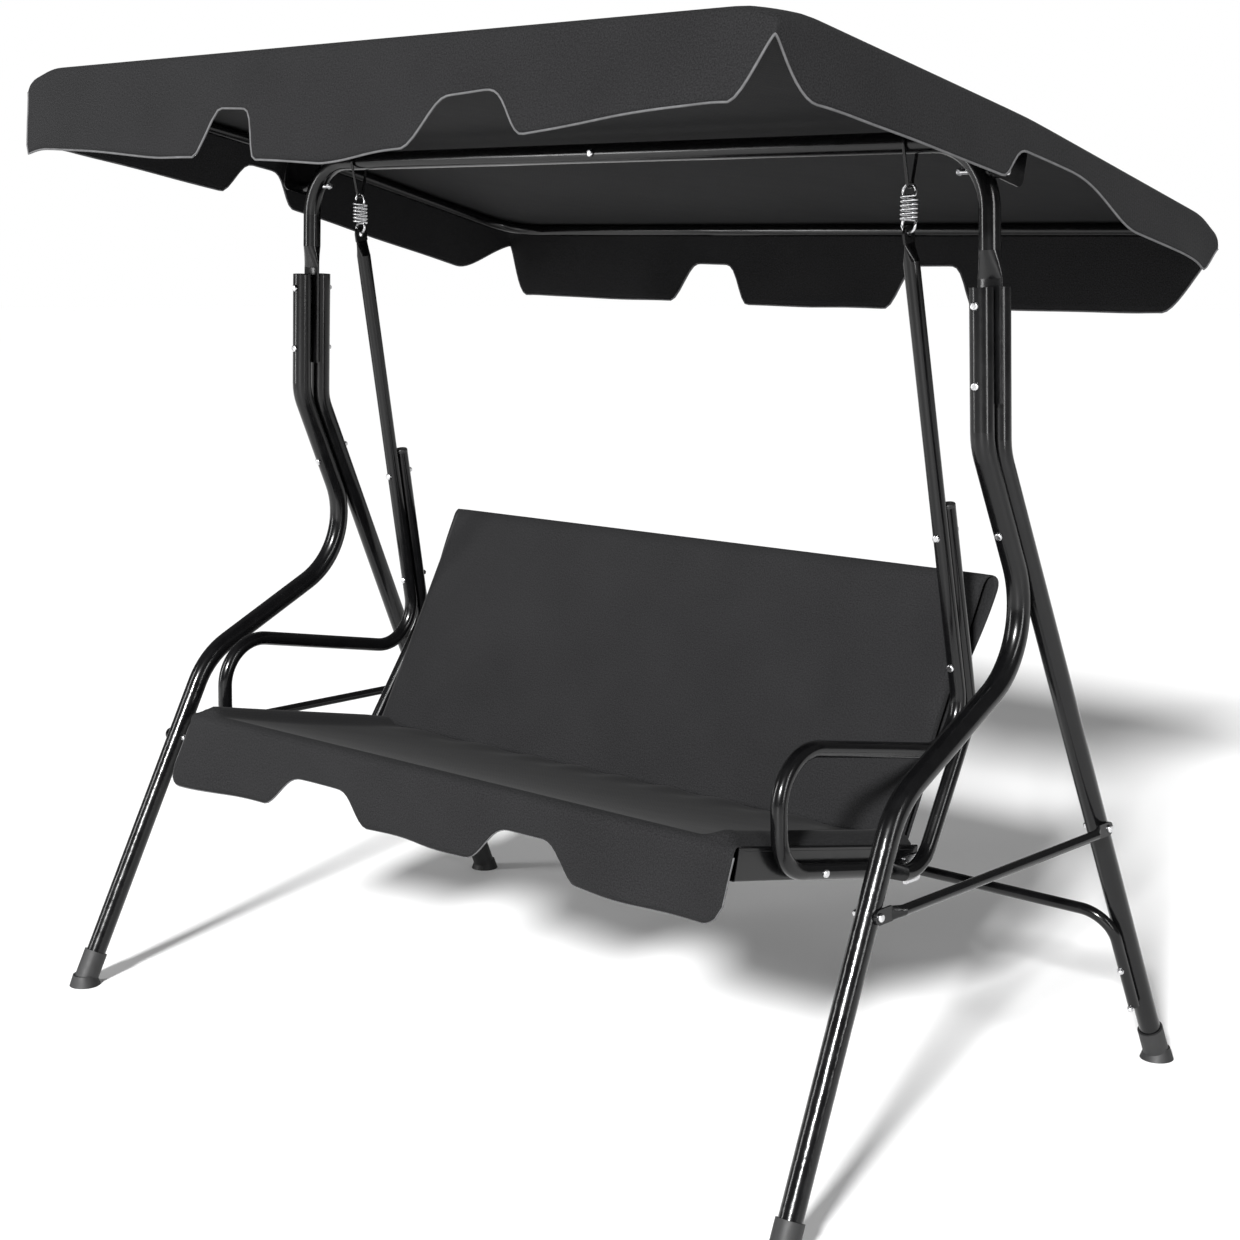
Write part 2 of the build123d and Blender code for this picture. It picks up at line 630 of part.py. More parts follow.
def join_bolt_spans():
    """Start and end of the right-hand bolts that hold the upright to the hanger."""
    reach = SEAT_TUBE_DIAMETER / 2
    cos = 1 / math.sqrt(1 + HANGER_LEAN**2)
    sin = HANGER_LEAN * cos
    spans = []
    for z in JOIN_BOLT_HEIGHTS:
        front, rear = -reach, UPRIGHT_SPACING + reach
        spans.append((
            hang_point(hanger_y(z) + front * cos, z + front * sin),
            hang_point(hanger_y(z) + rear * cos, z + rear * sin),
        ))
    return spans


def hanger_arm():
    """One tube: hanger, armrest and the lower run along the seat."""
    neck_z = HANGER_EYE_HEIGHT - HANGER_TAB_WIDTH / 2 - HANGER_FLATTENING
    points = [
        hang_point(hanger_y(neck_z), neck_z),
        hang_point(*ARM_KNEE),
        hang_point(ARM_FRONT_Y, ARM_FRONT_HEIGHTS[0]),
        hang_point(ARM_FRONT_Y, ARM_FRONT_HEIGHTS[1]),
        hang_point(ARM_END_Y, arm_low_z(ARM_END_Y)),
    ]
    radii = [ARM_KNEE_RADIUS, *ARM_FRONT_RADII]
    arm = tube(points, radii, SEAT_TUBE_DIAMETER, SEAT_TUBE_WALL)
    top = Vector(*hang_point(hanger_y(HANGER_EYE_HEIGHT), HANGER_EYE_HEIGHT))
    neck = Vector(*points[0])
    run = (top - neck).normalized()
    length = (top - neck).length - HANGER_TAB_WIDTH / 2
    shape = flattened_end(
        points[0], run, SEAT_TUBE_DIAMETER / 2, length,
        HANGER_TAB_WIDTH, HANGER_TAB_THICKNESS, (0, 1, -run.Y / run.Z),
    )
    tab_plane = Plane(origin=top, x_dir=run, z_dir=Vector(0, 1, 0).cross(run))
    reach = HANGER_TAB_WIDTH / 2
    tail = tab_plane * Rectangle(reach, HANGER_TAB_WIDTH, align=(Align.MAX, Align.CENTER))
    outline = tail + tab_plane * Ellipse(HANGER_EYE_RADIUS + HANGER_EYE_MARGIN, reach)
    tab = extrude(outline, HANGER_TAB_THICKNESS / 2, both=True)
    eye = Plane(origin=top, z_dir=(1, 0, 0)) * Circle(HANGER_EYE_RADIUS)
    arm = arm + shape + tab - extrude(eye, HANGER_TAB_WIDTH, both=True)
    for span in arm_bolt_spans()[:-1] + join_bolt_spans():
        arm -= bolt_hole(*span)
    return arm


def upright():
    """The capped tube behind the hanger, down to the seat's rear corner."""
    z_top, z_knee = UPRIGHT_TOP_HEIGHT, UPRIGHT_KNEE_HEIGHT
    points = [
        hang_point(upright_y(z_top), z_top),
        hang_point(upright_y(z_knee), z_knee),
        hang_point(*UPRIGHT_HEEL, UPRIGHT_HEEL_OFFSET),
        hang_point(UPRIGHT_END_Y, upright_low_z(UPRIGHT_END_Y), UPRIGHT_HEEL_OFFSET),
    ]
    radii = [UPRIGHT_KNEE_RADIUS, UPRIGHT_HEEL_RADIUS]
    tail = tube(points, radii, SEAT_TUBE_DIAMETER, SEAT_TUBE_WALL)
    forward = (Vector(*points[3]) - Vector(*points[2])).normalized()
    up = Vector(1, 0, 0).cross(forward) * -1
    neck_y = UPRIGHT_END_Y - UPRIGHT_FLATTENING
    neck = Vector(UPRIGHT_TAB_X, neck_y, upright_low_z(neck_y))
    round_plane = Plane(origin=points[3], x_dir=up, z_dir=forward)
    flat_plane = Plane(origin=neck, x_dir=up, z_dir=(0, forward.Y, forward.Z))
    flat = flat_plane * Ellipse(UPRIGHT_TAB_WIDTH / 2, UPRIGHT_TAB_THICKNESS / 2)
    tail += loft(Sketch() + [round_plane * Circle(SEAT_TUBE_DIAMETER / 2), flat])
    eye = Vector(UPRIGHT_TAB_X, UPRIGHT_BOLT_Y, upright_low_z(UPRIGHT_BOLT_Y))
    tab_plane = Plane(origin=(eye + neck) * 0.5, x_dir=neck - eye, z_dir=(1, 0, 0))
    tab = tab_plane * SlotCenterToCenter((neck - eye).length, UPRIGHT_TAB_WIDTH)
    tail += extrude(tab, UPRIGHT_TAB_THICKNESS / 2, both=True)
    for span in arm_bolt_spans()[-1:] + join_bolt_spans():
        tail -= bolt_hole(*span)
    return tail


def tube_plug(point, direction):
    """A plastic plug: a disc on the tube's end and a stem inside it."""
    plane = Plane(origin=point, z_dir=direction)
    head = plane * Cylinder(
        SEAT_TUBE_DIAMETER / 2, CAP_HEIGHT, align=(Align.CENTER, Align.CENTER, Align.MIN)
    )
    head = fillet(head.faces().sort_by(Axis(point, direction))[-1].edges(), CAP_ROUNDING)
    bore = SEAT_TUBE_DIAMETER / 2 - SEAT_TUBE_WALL
    stem = plane * Cylinder(bore, 2 * CAP_HEIGHT, align=(Align.CENTER, Align.CENTER, Align.MAX))
    return head + stem


def upright_plug():
    top = Vector(*hang_point(upright_y(UPRIGHT_TOP_HEIGHT), UPRIGHT_TOP_HEIGHT))
    knee = Vector(*hang_point(upright_y(UPRIGHT_KNEE_HEIGHT), UPRIGHT_KNEE_HEIGHT))
    return tube_plug(top, (top - knee).normalized())


# --- seat frame --------------------------------------------------------------------
def seat_point(along, up, x=0.0):
    """A point in seat coordinates: along the slope from the front bar, and up from it."""
    y = SEAT_FRONT[0] + along * SLOPE_COS + up * SLOPE_SIN
    z = SEAT_FRONT[1] - along * SLOPE_SIN + up * SLOPE_COS
    return (x, y, z)


def seat_plane(x=0.0):
    """Plane whose local X runs down the seat's slope and local Y is up from the seat."""
    return Plane(
        origin=seat_point(0, 0, x), x_dir=(0, SLOPE_COS, -SLOPE_SIN), z_dir=(1, 0, 0)
    )


REAR_BAR = seat_point(SEAT_DEPTH, 0)


def seat_cross_bar(along):
    ends = [seat_point(along, 0, x) for x in (-SIDE_BAR_INNER, SIDE_BAR_INNER)]
    return tube(ends, None, SEAT_TUBE_DIAMETER, SEAT_TUBE_WALL)


def bracket_bolt_span():
    y, z = BRACKET_BOLT
    outer = SIDE_BAR_OUTER + BRACKET_THICKNESS
    return (outer, y, z), (SIDE_BAR_INNER, y, z)


def seat_side_bar():
    """A rectangular tube under the edge of the seat, flush with the cross bars' tops."""
    top = SEAT_TUBE_DIAMETER / 2
    length = SEAT_DEPTH + SIDE_BAR_FRONT + SIDE_BAR_REAR
    plane = Plane(
        origin=seat_point(-SIDE_BAR_FRONT, top - SIDE_BAR_HEIGHT / 2,
                          SIDE_BAR_OUTER - SIDE_BAR_WIDTH / 2),
        x_dir=(1, 0, 0),
        z_dir=(0, SLOPE_COS, -SLOPE_SIN),
    )
    outer = RectangleRounded(SIDE_BAR_WIDTH, SIDE_BAR_HEIGHT, 2 * SIDE_BAR_WALL)
    wall = 2 * SIDE_BAR_WALL
    inner = RectangleRounded(SIDE_BAR_WIDTH - wall, SIDE_BAR_HEIGHT - wall, SIDE_BAR_WALL)
    bar = extrude(plane * (outer - inner), length)
    for span in arm_bolt_spans() + [bracket_bolt_span()]:
        bar -= bolt_hole(*span)
    return bar


def corner_bracket():
    """A zinc plate on the outer face of the side bar at the rear corner."""
    (x, y, z), _ = bracket_bolt_span()
    middle = z + BRACKET_LIFT
    low = (SIDE_BAR_OUTER, y - BRACKET_LENGTH / 2, middle - BRACKET_HEIGHT / 2)
    high = (x, y + BRACKET_LENGTH / 2, middle + BRACKET_HEIGHT / 2)
    plate = block(low, high)
    plate = fillet(plate.edges().filter_by(Axis.X), BRACKET_CORNER)
    return plate - bolt_hole(*bracket_bolt_span())


# --- backrest ----------------------------------------------------------------------
BACK_SIN = math.sin(math.radians(BACK_RECLINE_ANGLE))
BACK_COS = math.cos(math.radians(BACK_RECLINE_ANGLE))


def back_point(up, forward=0.0, x=0.0):
    """A point in backrest coordinates: up the recline from the rear bar, and forward."""
    y = REAR_BAR[1] + up * BACK_SIN - forward * BACK_COS
    z = REAR_BAR[2] + up * BACK_COS + forward * BACK_SIN
    return (x, y, z)


def backrest_frame():
    """An inverted-U tube whose feet stand on the seat's rear bar."""
    foot = SEAT_TUBE_DIAMETER / 2
    span = BACK_HALF_SPAN
    points = [
        back_point(foot, 0, span),
        back_point(BACK_HEIGHT, 0, span),
        back_point(BACK_HEIGHT, 0, -span),
        back_point(foot, 0, -span),
    ]
    return tube(points, [BACK_BEND_RADIUS] * 2, BACK_TUBE_DIAMETER, SEAT_TUBE_WALL)


def backrest_cover():
    """A fabric pocket over the backrest frame, open at the bottom."""
    inside = BACK_TUBE_DIAMETER / 2 + FABRIC_GAP
    outside = inside + BACK_FABRIC
    low, top = BACK_FABRIC_LOWER, BACK_HEIGHT
    half = BACK_FABRIC_HALF_WIDTH
    plane = Plane(origin=back_point(0, 0, half), x_dir=(0, BACK_SIN, BACK_COS), z_dir=(-1, 0, 0))

    def profile(radius):
        body = Rectangle(top - low, 2 * radius, align=(Align.MIN, Align.CENTER))
        return plane * (Pos(low, 0) * body + Pos(top, 0) * Circle(radius))

    return extrude(profile(outside) - profile(inside), 2 * half)


# --- seat fabric -------------------------------------------------------------------
def seat_cover():
    """The sling from the rear bar over the front bar."""
    inside = SEAT_TUBE_DIAMETER / 2 + FABRIC_GAP
    outside = inside + SEAT_FABRIC
    half = SEAT_FABRIC_HALF_WIDTH
    plane = seat_plane(-half)
    panel = Pos(0, inside) * Rectangle(
        SEAT_DEPTH - SEAT_TUBE_DIAMETER, SEAT_FABRIC, align=(Align.MIN, Align.MIN)
    )
    nose = Circle(outside) - Circle(inside)
    nose &= Rectangle(2 * outside, 2 * outside, align=(Align.MAX, Align.CENTER))
    sling = extrude(plane * (panel + nose), 2 * half)
    clear = SIDE_BAR_HEIGHT
    side = SIDE_BAR_INNER - FABRIC_GAP
    for sign in (1, -1):
        end = Plane(
            origin=seat_point(-SIDE_BAR_FRONT - FABRIC_GAP, inside, sign * (side + half) / 2),
            x_dir=(1, 0, 0),
            z_dir=(0, SLOPE_COS, -SLOPE_SIN),
        )
        sling -= extrude(
            end * Rectangle(half - side, clear, align=(Align.CENTER, Align.MIN)), 4 * clear
        )
    return sling


def seat_valance():
    """The scalloped strip that hangs from the front of the seat."""
    nose = SEAT_TUBE_DIAMETER / 2 + FABRIC_GAP + SEAT_FABRIC
    half = SEAT_FABRIC_HALF_WIDTH
    front = SEAT_FRONT[0] - nose
    top = SEAT_FRONT[1] - SEAT_VALANCE_TOP
    arches = [(centre, *SEAT_ARCH) for centre in SEAT_ARCH_CENTRES]
    strip = wavy_hem(half, SEAT_VALANCE_DROP, arches)
    plane = Plane(origin=(0, front - FABRIC_GAP, top), x_dir=(1, 0, 0), z_dir=(0, -1, 0))
    return extrude(plane * strip, SEAT_VALANCE_THICKNESS)


# --- canopy ------------------------------------------------------------------------
TILT = math.radians(CANOPY_TILT_ANGLE)
RIDGE = (ROOF_RISE * math.sin(TILT), PIVOT_HEIGHT + ROOF_RISE * math.cos(TILT))
HALF_ANGLES = {
    "front": math.radians(CANOPY_TILT_ANGLE - ROOF_FOLD_ANGLE),
    "rear": math.radians(CANOPY_TILT_ANGLE + ROOF_FOLD_ANGLE),
}
FRAME_RADIUS = CANOPY_TUBE_DIAMETER / 2
FABRIC_UNDER = FRAME_RADIUS + FABRIC_GAP


def roof_point(half, along, up, x=0.0):
    """A point in a roof half's coordinates: along is rearwards from the ridge."""
    angle = HALF_ANGLES[half]
    y = RIDGE[0] + along * math.cos(angle) + up * math.sin(angle)
    z = RIDGE[1] - along * math.sin(angle) + up * math.cos(angle)
    return (x, y, z)


def roof_plane(half, along, up):
    """Plane across the roof half: local X is +X, local Y is up from the roof."""
    angle = HALF_ANGLES[half]
    return Plane(
        origin=roof_point(half, along, up),
        x_dir=(1, 0, 0),
        z_dir=(0, -math.cos(angle), math.sin(angle)),
    )


def ridge_point(up, angle=TILT):
    return (RIDGE[0] + up * math.sin(angle), RIDGE[1] + up * math.cos(angle))


def canopy_bolt_spans():
    """The right-hand bolts through the frame tubes and the pivot plate."""
    outer = CANOPY_BAR_X + FRAME_RADIUS
    inner = CANOPY_BAR_X - FRAME_RADIUS - PLATE_THICKNESS
    spans = []
    for half, sign in (("front", -1), ("rear", 1)):
        _, y, z = roof_point(half, sign * CANOPY_BOLT_Y, 0)
        spans.append(((outer, y, z), (inner, y, z)))
    return spans


def canopy_frame(half, reach, sign):
    """A U of tube: one cross bar and half of each side bar."""
    start = sign * CANOPY_END_GAP
    end = sign * reach
    points = [
        roof_point(half, start, 0, CANOPY_BAR_X),
        roof_point(half, end, 0, CANOPY_BAR_X),
        roof_point(half, end, 0, -CANOPY_BAR_X),
        roof_point(half, start, 0, -CANOPY_BAR_X),
    ]
    frame = tube(points, [CANOPY_BEND_RADIUS] * 2, CANOPY_TUBE_DIAMETER, CANOPY_TUBE_WALL)
    for span in canopy_bolt_spans():
        for hole in both_sides(bolt_hole(*span)):
            frame -= hole
    return frame


def pivot_plate():
    """The right-hand plate that carries the canopy frame and turns on the pivot bolt."""
    x = CANOPY_BAR_X - FRAME_RADIUS - PLATE_THICKNESS
    plane = Plane(
        origin=(x, 0, PIVOT_HEIGHT), x_dir=(0, math.cos(TILT), -math.sin(TILT)), z_dir=(1, 0, 0)
    )
    centre = PLATE_HEIGHT / 2 - PLATE_BELOW_PIVOT
    outline = Pos(0, centre) * RectangleRounded(PLATE_LENGTH, PLATE_HEIGHT, PLATE_CORNER)
    plate = extrude(plane * outline, PLATE_THICKNESS)
    bore = PIVOT_BOLT_DIAMETER / 2 + PIVOT_CLEARANCE
    plate -= extrude(plane * Circle(bore), PLATE_THICKNESS)
    for span in canopy_bolt_spans():
        plate -= bolt_hole(*span)
    return plate


def roof_edge_points(up):
    """Front edge, ridge and rear edge of the roof at a height above the frame."""
    front = roof_point("front", -CANOPY_REACH_FRONT - FABRIC_OVERHANG, up)
    rear = roof_point("rear", CANOPY_REACH_REAR + FABRIC_OVERHANG, up)
    return [front[1:], ridge_point(up), rear[1:]]


def canopy_top():
    """The roof panel over the frame, folded at the ridge."""
    low = roof_edge_points(FABRIC_UNDER)
    high = roof_edge_points(FABRIC_UNDER + CANOPY_FABRIC)
    outline = make_face(Polyline(*(low + high[::-1]), close=True))
    plane = Plane(origin=(-CANOPY_HALF_WIDTH, 0, 0), x_dir=(0, 1, 0), z_dir=(1, 0, 0))
    return extrude(plane * outline, 2 * CANOPY_HALF_WIDTH)


def cross_valance(half, along, arches, cuts):
    """The scalloped strip along the front or the rear of the roof."""
    strip = wavy_hem(CANOPY_HALF_WIDTH, VALANCE_DROP, arches, cuts)
    return extrude(roof_plane(half, along, FABRIC_UNDER) * strip, CANOPY_FABRIC)


def side_valance(arches, cuts):
    """The right-hand scalloped strip, folded with the roof at the ridge.

    Each arch is (half, centre along the roof, foot half width, head half width), and
    the cuts are the lengths over which the hem climbs at the front and the rear."""
    inset = CANOPY_FABRIC + FABRIC_GAP
    front = -CANOPY_REACH_FRONT - FABRIC_OVERHANG + inset
    rear = CANOPY_REACH_REAR + FABRIC_OVERHANG - inset
    up, hem = FABRIC_UNDER, FABRIC_UNDER - VALANCE_DROP
    points = [roof_point("front", front, up)[1:], ridge_point(up), roof_point("rear", rear, up)[1:]]
    points.append(roof_point("rear", rear, up - CORNER_DEPTH)[1:])
    low_points = [
        ridge_point(hem),
        roof_point("rear", rear - cuts[1], hem)[1:],
        roof_point("front", front + cuts[0], hem)[1:],
    ]
    for half, centre, foot, head in arches:
        marks = ((-foot, 0), (-head, ARCH_RISE), (head, ARCH_RISE), (foot, 0))
        low_points += [roof_point(half, centre + a, hem + rise)[1:] for a, rise in marks]
    points += sorted(low_points, key=lambda p: -p[0])
    points.append(roof_point("front", front, up - CORNER_DEPTH)[1:])
    plane = Plane(
        origin=(CANOPY_HALF_WIDTH - CANOPY_FABRIC, 0, 0), x_dir=(0, 1, 0), z_dir=(1, 0, 0)
    )
    return extrude(plane * make_face(Polyline(*points, close=True)), CANOPY_FABRIC)


# --- assembly ----------------------------------------------------------------------
def stand_nodes():
    nodes = {}
    pairs = {
        "front_leg": front_leg(),
        "rear_leg": rear_leg(),
        "front_foot": foot_cap(front_low_y),
        "rear_foot": foot_cap(rear_lean_y),
        "side_brace": side_brace(),
        "top_crossbar": top_crossbar(),
    }
    for name, shape in pairs.items():
        nodes[f"{name}_right"], nodes[f"{name}_left"] = both_sides(shape)
    nodes["top_crossbar_right"] += crossbar_swage()
    for name in ("top_crossbar_right", "top_crossbar_left"):
        nodes[name] -= bolt_hole(*crossbar_bolt_span())
    nodes["rear_stretcher"] = rear_stretcher()
    fasteners = {
        "leg_bolts": [bolt(*span) for span in leg_bolt_spans()],
        "brace_bolts": [bolt(*span) for span in brace_bolt_spans()],
        "stretcher_bolts": [bolt(*span) for span in stretcher_bolt_spans()],
        "canopy_pivot_bolts": [bolt(*pivot_bolt_span(), PIVOT_BOLT_DIAMETER)],
    }
    for name, bolts in fasteners.items():
        nodes[name] = group([side for one in bolts for side in both_sides(one)])
    nodes["crossbar_bolt"] = bolt(*crossbar_bolt_span())
    return nodes


def seat_nodes():
    nodes = {
        "seat_front_bar": seat_cross_bar(0.0),
        "seat_rear_bar": seat_cross_bar(SEAT_DEPTH),
        "backrest_frame": backrest_frame(),
        "backrest_cover": backrest_cover(),
        "seat_cover": seat_cover(),
        "seat_valance": seat_valance(),
    }
    pairs = {
        "hook": hook(),
        "spring": spring(),
        "hanger_arm": hanger_arm(),
        "upright": upright(),
        "seat_side_bar": seat_side_bar(),
        "corner_bracket": corner_bracket(),
    }
    for name, shape in pairs.items():
        nodes[f"{name}_right"], nodes[f"{name}_left"] = both_sides(shape)
    fasteners = {
        "arm_bolts": [bolt(*span) for span in arm_bolt_spans()],
        "upright_bolts": [bolt(*span) for span in join_bolt_spans()],
        "bracket_bolts": [bolt(*bracket_bolt_span())],
        "upright_plugs": [upright_plug()],
    }
    for name, bolts in fasteners.items():
        nodes[name] = group([side for one in bolts for side in both_sides(one)])
    return nodes


def canopy_nodes():
    front_edge = -CANOPY_REACH_FRONT - FABRIC_OVERHANG + CANOPY_FABRIC
    rear_edge = CANOPY_REACH_REAR + FABRIC_OVERHANG
    nodes = {
        "canopy_front_frame": canopy_frame("front", CANOPY_REACH_FRONT, -1),
        "canopy_rear_frame": canopy_frame("rear", CANOPY_REACH_REAR, 1),
        "canopy_top": canopy_top(),
        "canopy_valance_front": cross_valance(
            "front", front_edge, FRONT_ARCHES, CORNER_CUTS["front"]
        ),
        "canopy_valance_rear": cross_valance(
            "rear", rear_edge, REAR_ARCHES, CORNER_CUTS["rear"]
        ),
        "canopy_valance_right": side_valance(SIDE_ARCHES["right"], CORNER_CUTS["right"]),
        "canopy_valance_left": mirror(
            side_valance(SIDE_ARCHES["left"], CORNER_CUTS["left"]), about=Plane.YZ
        ),
    }
    nodes["canopy_plate_right"], nodes["canopy_plate_left"] = both_sides(pivot_plate())
    bolts = [bolt(*span) for span in canopy_bolt_spans()]
    nodes["canopy_bolts"] = group([side for one in bolts for side in both_sides(one)])
    return nodes


os.makedirs("parts", exist_ok=True)
for name, shape in {**stand_nodes(), **seat_nodes(), **canopy_nodes()}.items():
    export_step(shape, f"parts/{name}.step")
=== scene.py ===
"""Canopy glider swing: fabric, springs, finishes and studio round the packed frame."""

import json
import math

import bmesh
import bpy
import numpy as np
from bpy.props import FloatProperty, FloatVectorProperty
from bpy.types import Operator, Panel, PropertyGroup
from mathutils import Matrix, Vector


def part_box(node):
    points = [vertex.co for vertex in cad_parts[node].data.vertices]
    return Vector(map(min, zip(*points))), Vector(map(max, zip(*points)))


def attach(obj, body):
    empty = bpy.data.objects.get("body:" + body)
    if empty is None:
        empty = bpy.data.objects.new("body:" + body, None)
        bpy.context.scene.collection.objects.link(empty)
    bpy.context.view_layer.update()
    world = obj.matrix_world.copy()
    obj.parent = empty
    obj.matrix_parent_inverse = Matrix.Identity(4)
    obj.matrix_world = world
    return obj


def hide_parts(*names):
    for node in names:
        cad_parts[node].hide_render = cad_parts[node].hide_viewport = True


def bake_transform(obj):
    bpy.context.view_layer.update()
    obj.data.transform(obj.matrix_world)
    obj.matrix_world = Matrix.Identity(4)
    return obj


bl_info = {
    "name": "Canopy Glider Swing",
    "version": (1, 0, 0),
    "blender": (4, 5, 0),
    "location": "View3D > Sidebar > Swing",
    "description": "Builds the fabric, springs and finishes of a canopy glider swing",
    "category": "Object",
}

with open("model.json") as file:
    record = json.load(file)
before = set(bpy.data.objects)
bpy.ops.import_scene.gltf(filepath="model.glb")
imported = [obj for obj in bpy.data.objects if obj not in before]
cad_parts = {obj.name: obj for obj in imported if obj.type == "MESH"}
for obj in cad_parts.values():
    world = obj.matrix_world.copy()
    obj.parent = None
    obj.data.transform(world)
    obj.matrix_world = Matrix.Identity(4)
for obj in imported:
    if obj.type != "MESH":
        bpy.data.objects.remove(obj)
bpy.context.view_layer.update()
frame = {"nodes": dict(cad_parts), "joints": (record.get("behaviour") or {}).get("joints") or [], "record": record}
JOINTS = {joint["name"]: joint for joint in frame["joints"]}

# Canopy: metres in the canopy frame's own plane, which is tilted about its pivot.
ROOF_RISE = 0.060            # frame tubes above the pivot
ROOF_HALF_WIDTH = 0.8045
FRAME_X = 0.77               # where the frames' side tubes hold the cloth
FRAME_REACH = 0.565
ROOF_FRONT = 0.5815          # ridge to the front edge
ROOF_REAR = 0.5885           # ridge to the rear edge
ROOF_UP = 0.0132             # cloth above the tubes' centres
BEND_X = 0.695               # centres of the frame's corner bends
BEND_A = 0.475
BEND_OUTER = 0.103
EDGE_RADIUS = 0.012          # how the cloth turns over the edges
CORNER_DEPTH = 0.013         # what hangs below the edge at the corners

# Seat: the sling's plane runs from the front bar down to the rear bar.
SEAT_DEPTH = 0.4216
SLING_RADIUS = 0.0150        # cloth round the bars' centres
SEAT_DROP = 0.104            # valance below the front bar
SIDE_BAR_FACE = 0.6245

BACK_HEIGHT = 0.440
BACK_TUBE_X = 0.594
BACK_COVER_X = 0.609
BACK_HEM = 0.012             # lower hem above the rear bar's centre

SPRING_RADIUS = 0.0115       # middle of the wire
SPRING_NECK = 0.005          # straight wire between the coil and its end loops

THREADS_PER_METRE = 900.0

CAMERA_PLACE = (2.448, -2.629, 1.350)
CAMERA_TURN, CAMERA_DOWN, CAMERA_ROLL = 42.49, 10.09, 0.14   # degrees
KEY_FROM = (0.75, -1.78, 1.0)


# --- cloth helpers ---------------------------------------------------------------

def ease(t):
    """Zero to one with level ends."""
    t = np.clip(t, 0.0, 1.0)
    return t * t * (3 - 2 * t)


def scallop(s, foot, head, far_head, far_foot):
    """One between the heads, falling smoothly to zero at the feet."""
    near = np.clip((s - foot) / (head - foot), 0, 1)
    far = np.clip((far_foot - s) / (far_foot - far_head), 0, 1)
    return np.sin(math.pi / 2 * ease(near)) * np.sin(math.pi / 2 * ease(far))


def hem_depth(s, start, end, drop, scallops, climbs):
    """Depth of a hanging strip at each place along it."""
    depth = np.interp(s, np.linspace(start, end, len(drop)), drop)
    for *shape, rise in scallops:
        depth = depth - rise * scallop(s, *shape)
    for edge, climb in ((start, climbs[0]), (end, climbs[1])):
        near = ease(np.abs(s - edge) / climb) ** 0.7
        depth = CORNER_DEPTH + (depth - CORNER_DEPTH) * near
    return depth


def turned(distance, limit):
    """Where cloth goes that is laid out from the middle and turns down at a limit:
    outwards, and down."""
    flat = limit - EDGE_RADIUS
    angle = np.clip((np.abs(distance) - flat) / EDGE_RADIUS, 0, math.pi / 2)
    out = np.minimum(np.abs(distance), flat) + EDGE_RADIUS * np.sin(angle)
    return np.sign(distance) * out, EDGE_RADIUS * (1 - np.cos(angle))


def cloth_marks(limit_low, limit_high, step):
    """Places across the cloth between two turned edges, close together at the turns."""
    reach = EDGE_RADIUS * math.pi / 2
    arc = np.linspace(0, reach, 5)
    low, high = limit_low - EDGE_RADIUS, limit_high - EDGE_RADIUS
    middle = np.linspace(-low, high, int((low + high) / step))
    return np.concatenate([-(low + arc[:0:-1]), middle, high + arc[1:]])


def mesh_of(name, patches, merge=2e-5):
    """One mesh from grids of points with their places on the flat cloth as UVs."""
    points, marks, faces, base = [], [], [], 0
    for grid, flat in patches:
        rows, columns = grid.shape[:2]
        index = np.arange(rows * columns).reshape(rows, columns) + base
        quads = np.stack(
            [index[:-1, :-1], index[1:, :-1], index[1:, 1:], index[:-1, 1:]], axis=-1
        )
        faces.append(quads.reshape(-1, 4))
        points.append(grid.reshape(-1, 3))
        marks.append(flat.reshape(-1, 2))
        base += rows * columns
    points, marks = np.concatenate(points), np.concatenate(marks)
    mesh = bpy.data.meshes.new(name)
    mesh.from_pydata(points.tolist(), [], np.concatenate(faces).tolist())
    layer = mesh.uv_layers.new(name="Cloth")
    corner = np.empty(len(mesh.loops), int)
    mesh.loops.foreach_get("vertex_index", corner)
    layer.data.foreach_set("uv", marks[corner].astype(np.float32).ravel())
    work = bmesh.new()
    work.from_mesh(mesh)
    bmesh.ops.remove_doubles(work, verts=work.verts, dist=merge)
    bmesh.ops.recalc_face_normals(work, faces=work.faces)
    work.to_mesh(mesh)
    work.free()
    mesh.shade_smooth()
    return mesh


def add_piece(name, mesh, finish):
    obj = bpy.data.objects.new(name, mesh)
    mesh.materials.append(finish)
    bpy.context.scene.collection.objects.link(obj)
    return obj


def thicken(obj, thickness, offset=0.0):
    """Gives the cloth its thickness and keeps the result as the piece's mesh."""
    solid = obj.modifiers.new("Cloth", "SOLIDIFY")
    solid.thickness, solid.offset = thickness, offset
    solid.use_even_offset = False
    graph = bpy.context.evaluated_depsgraph_get()
    mesh = bpy.data.meshes.new_from_object(obj.evaluated_get(graph))
    obj.modifiers.clear()
    obj.data = mesh
    return obj


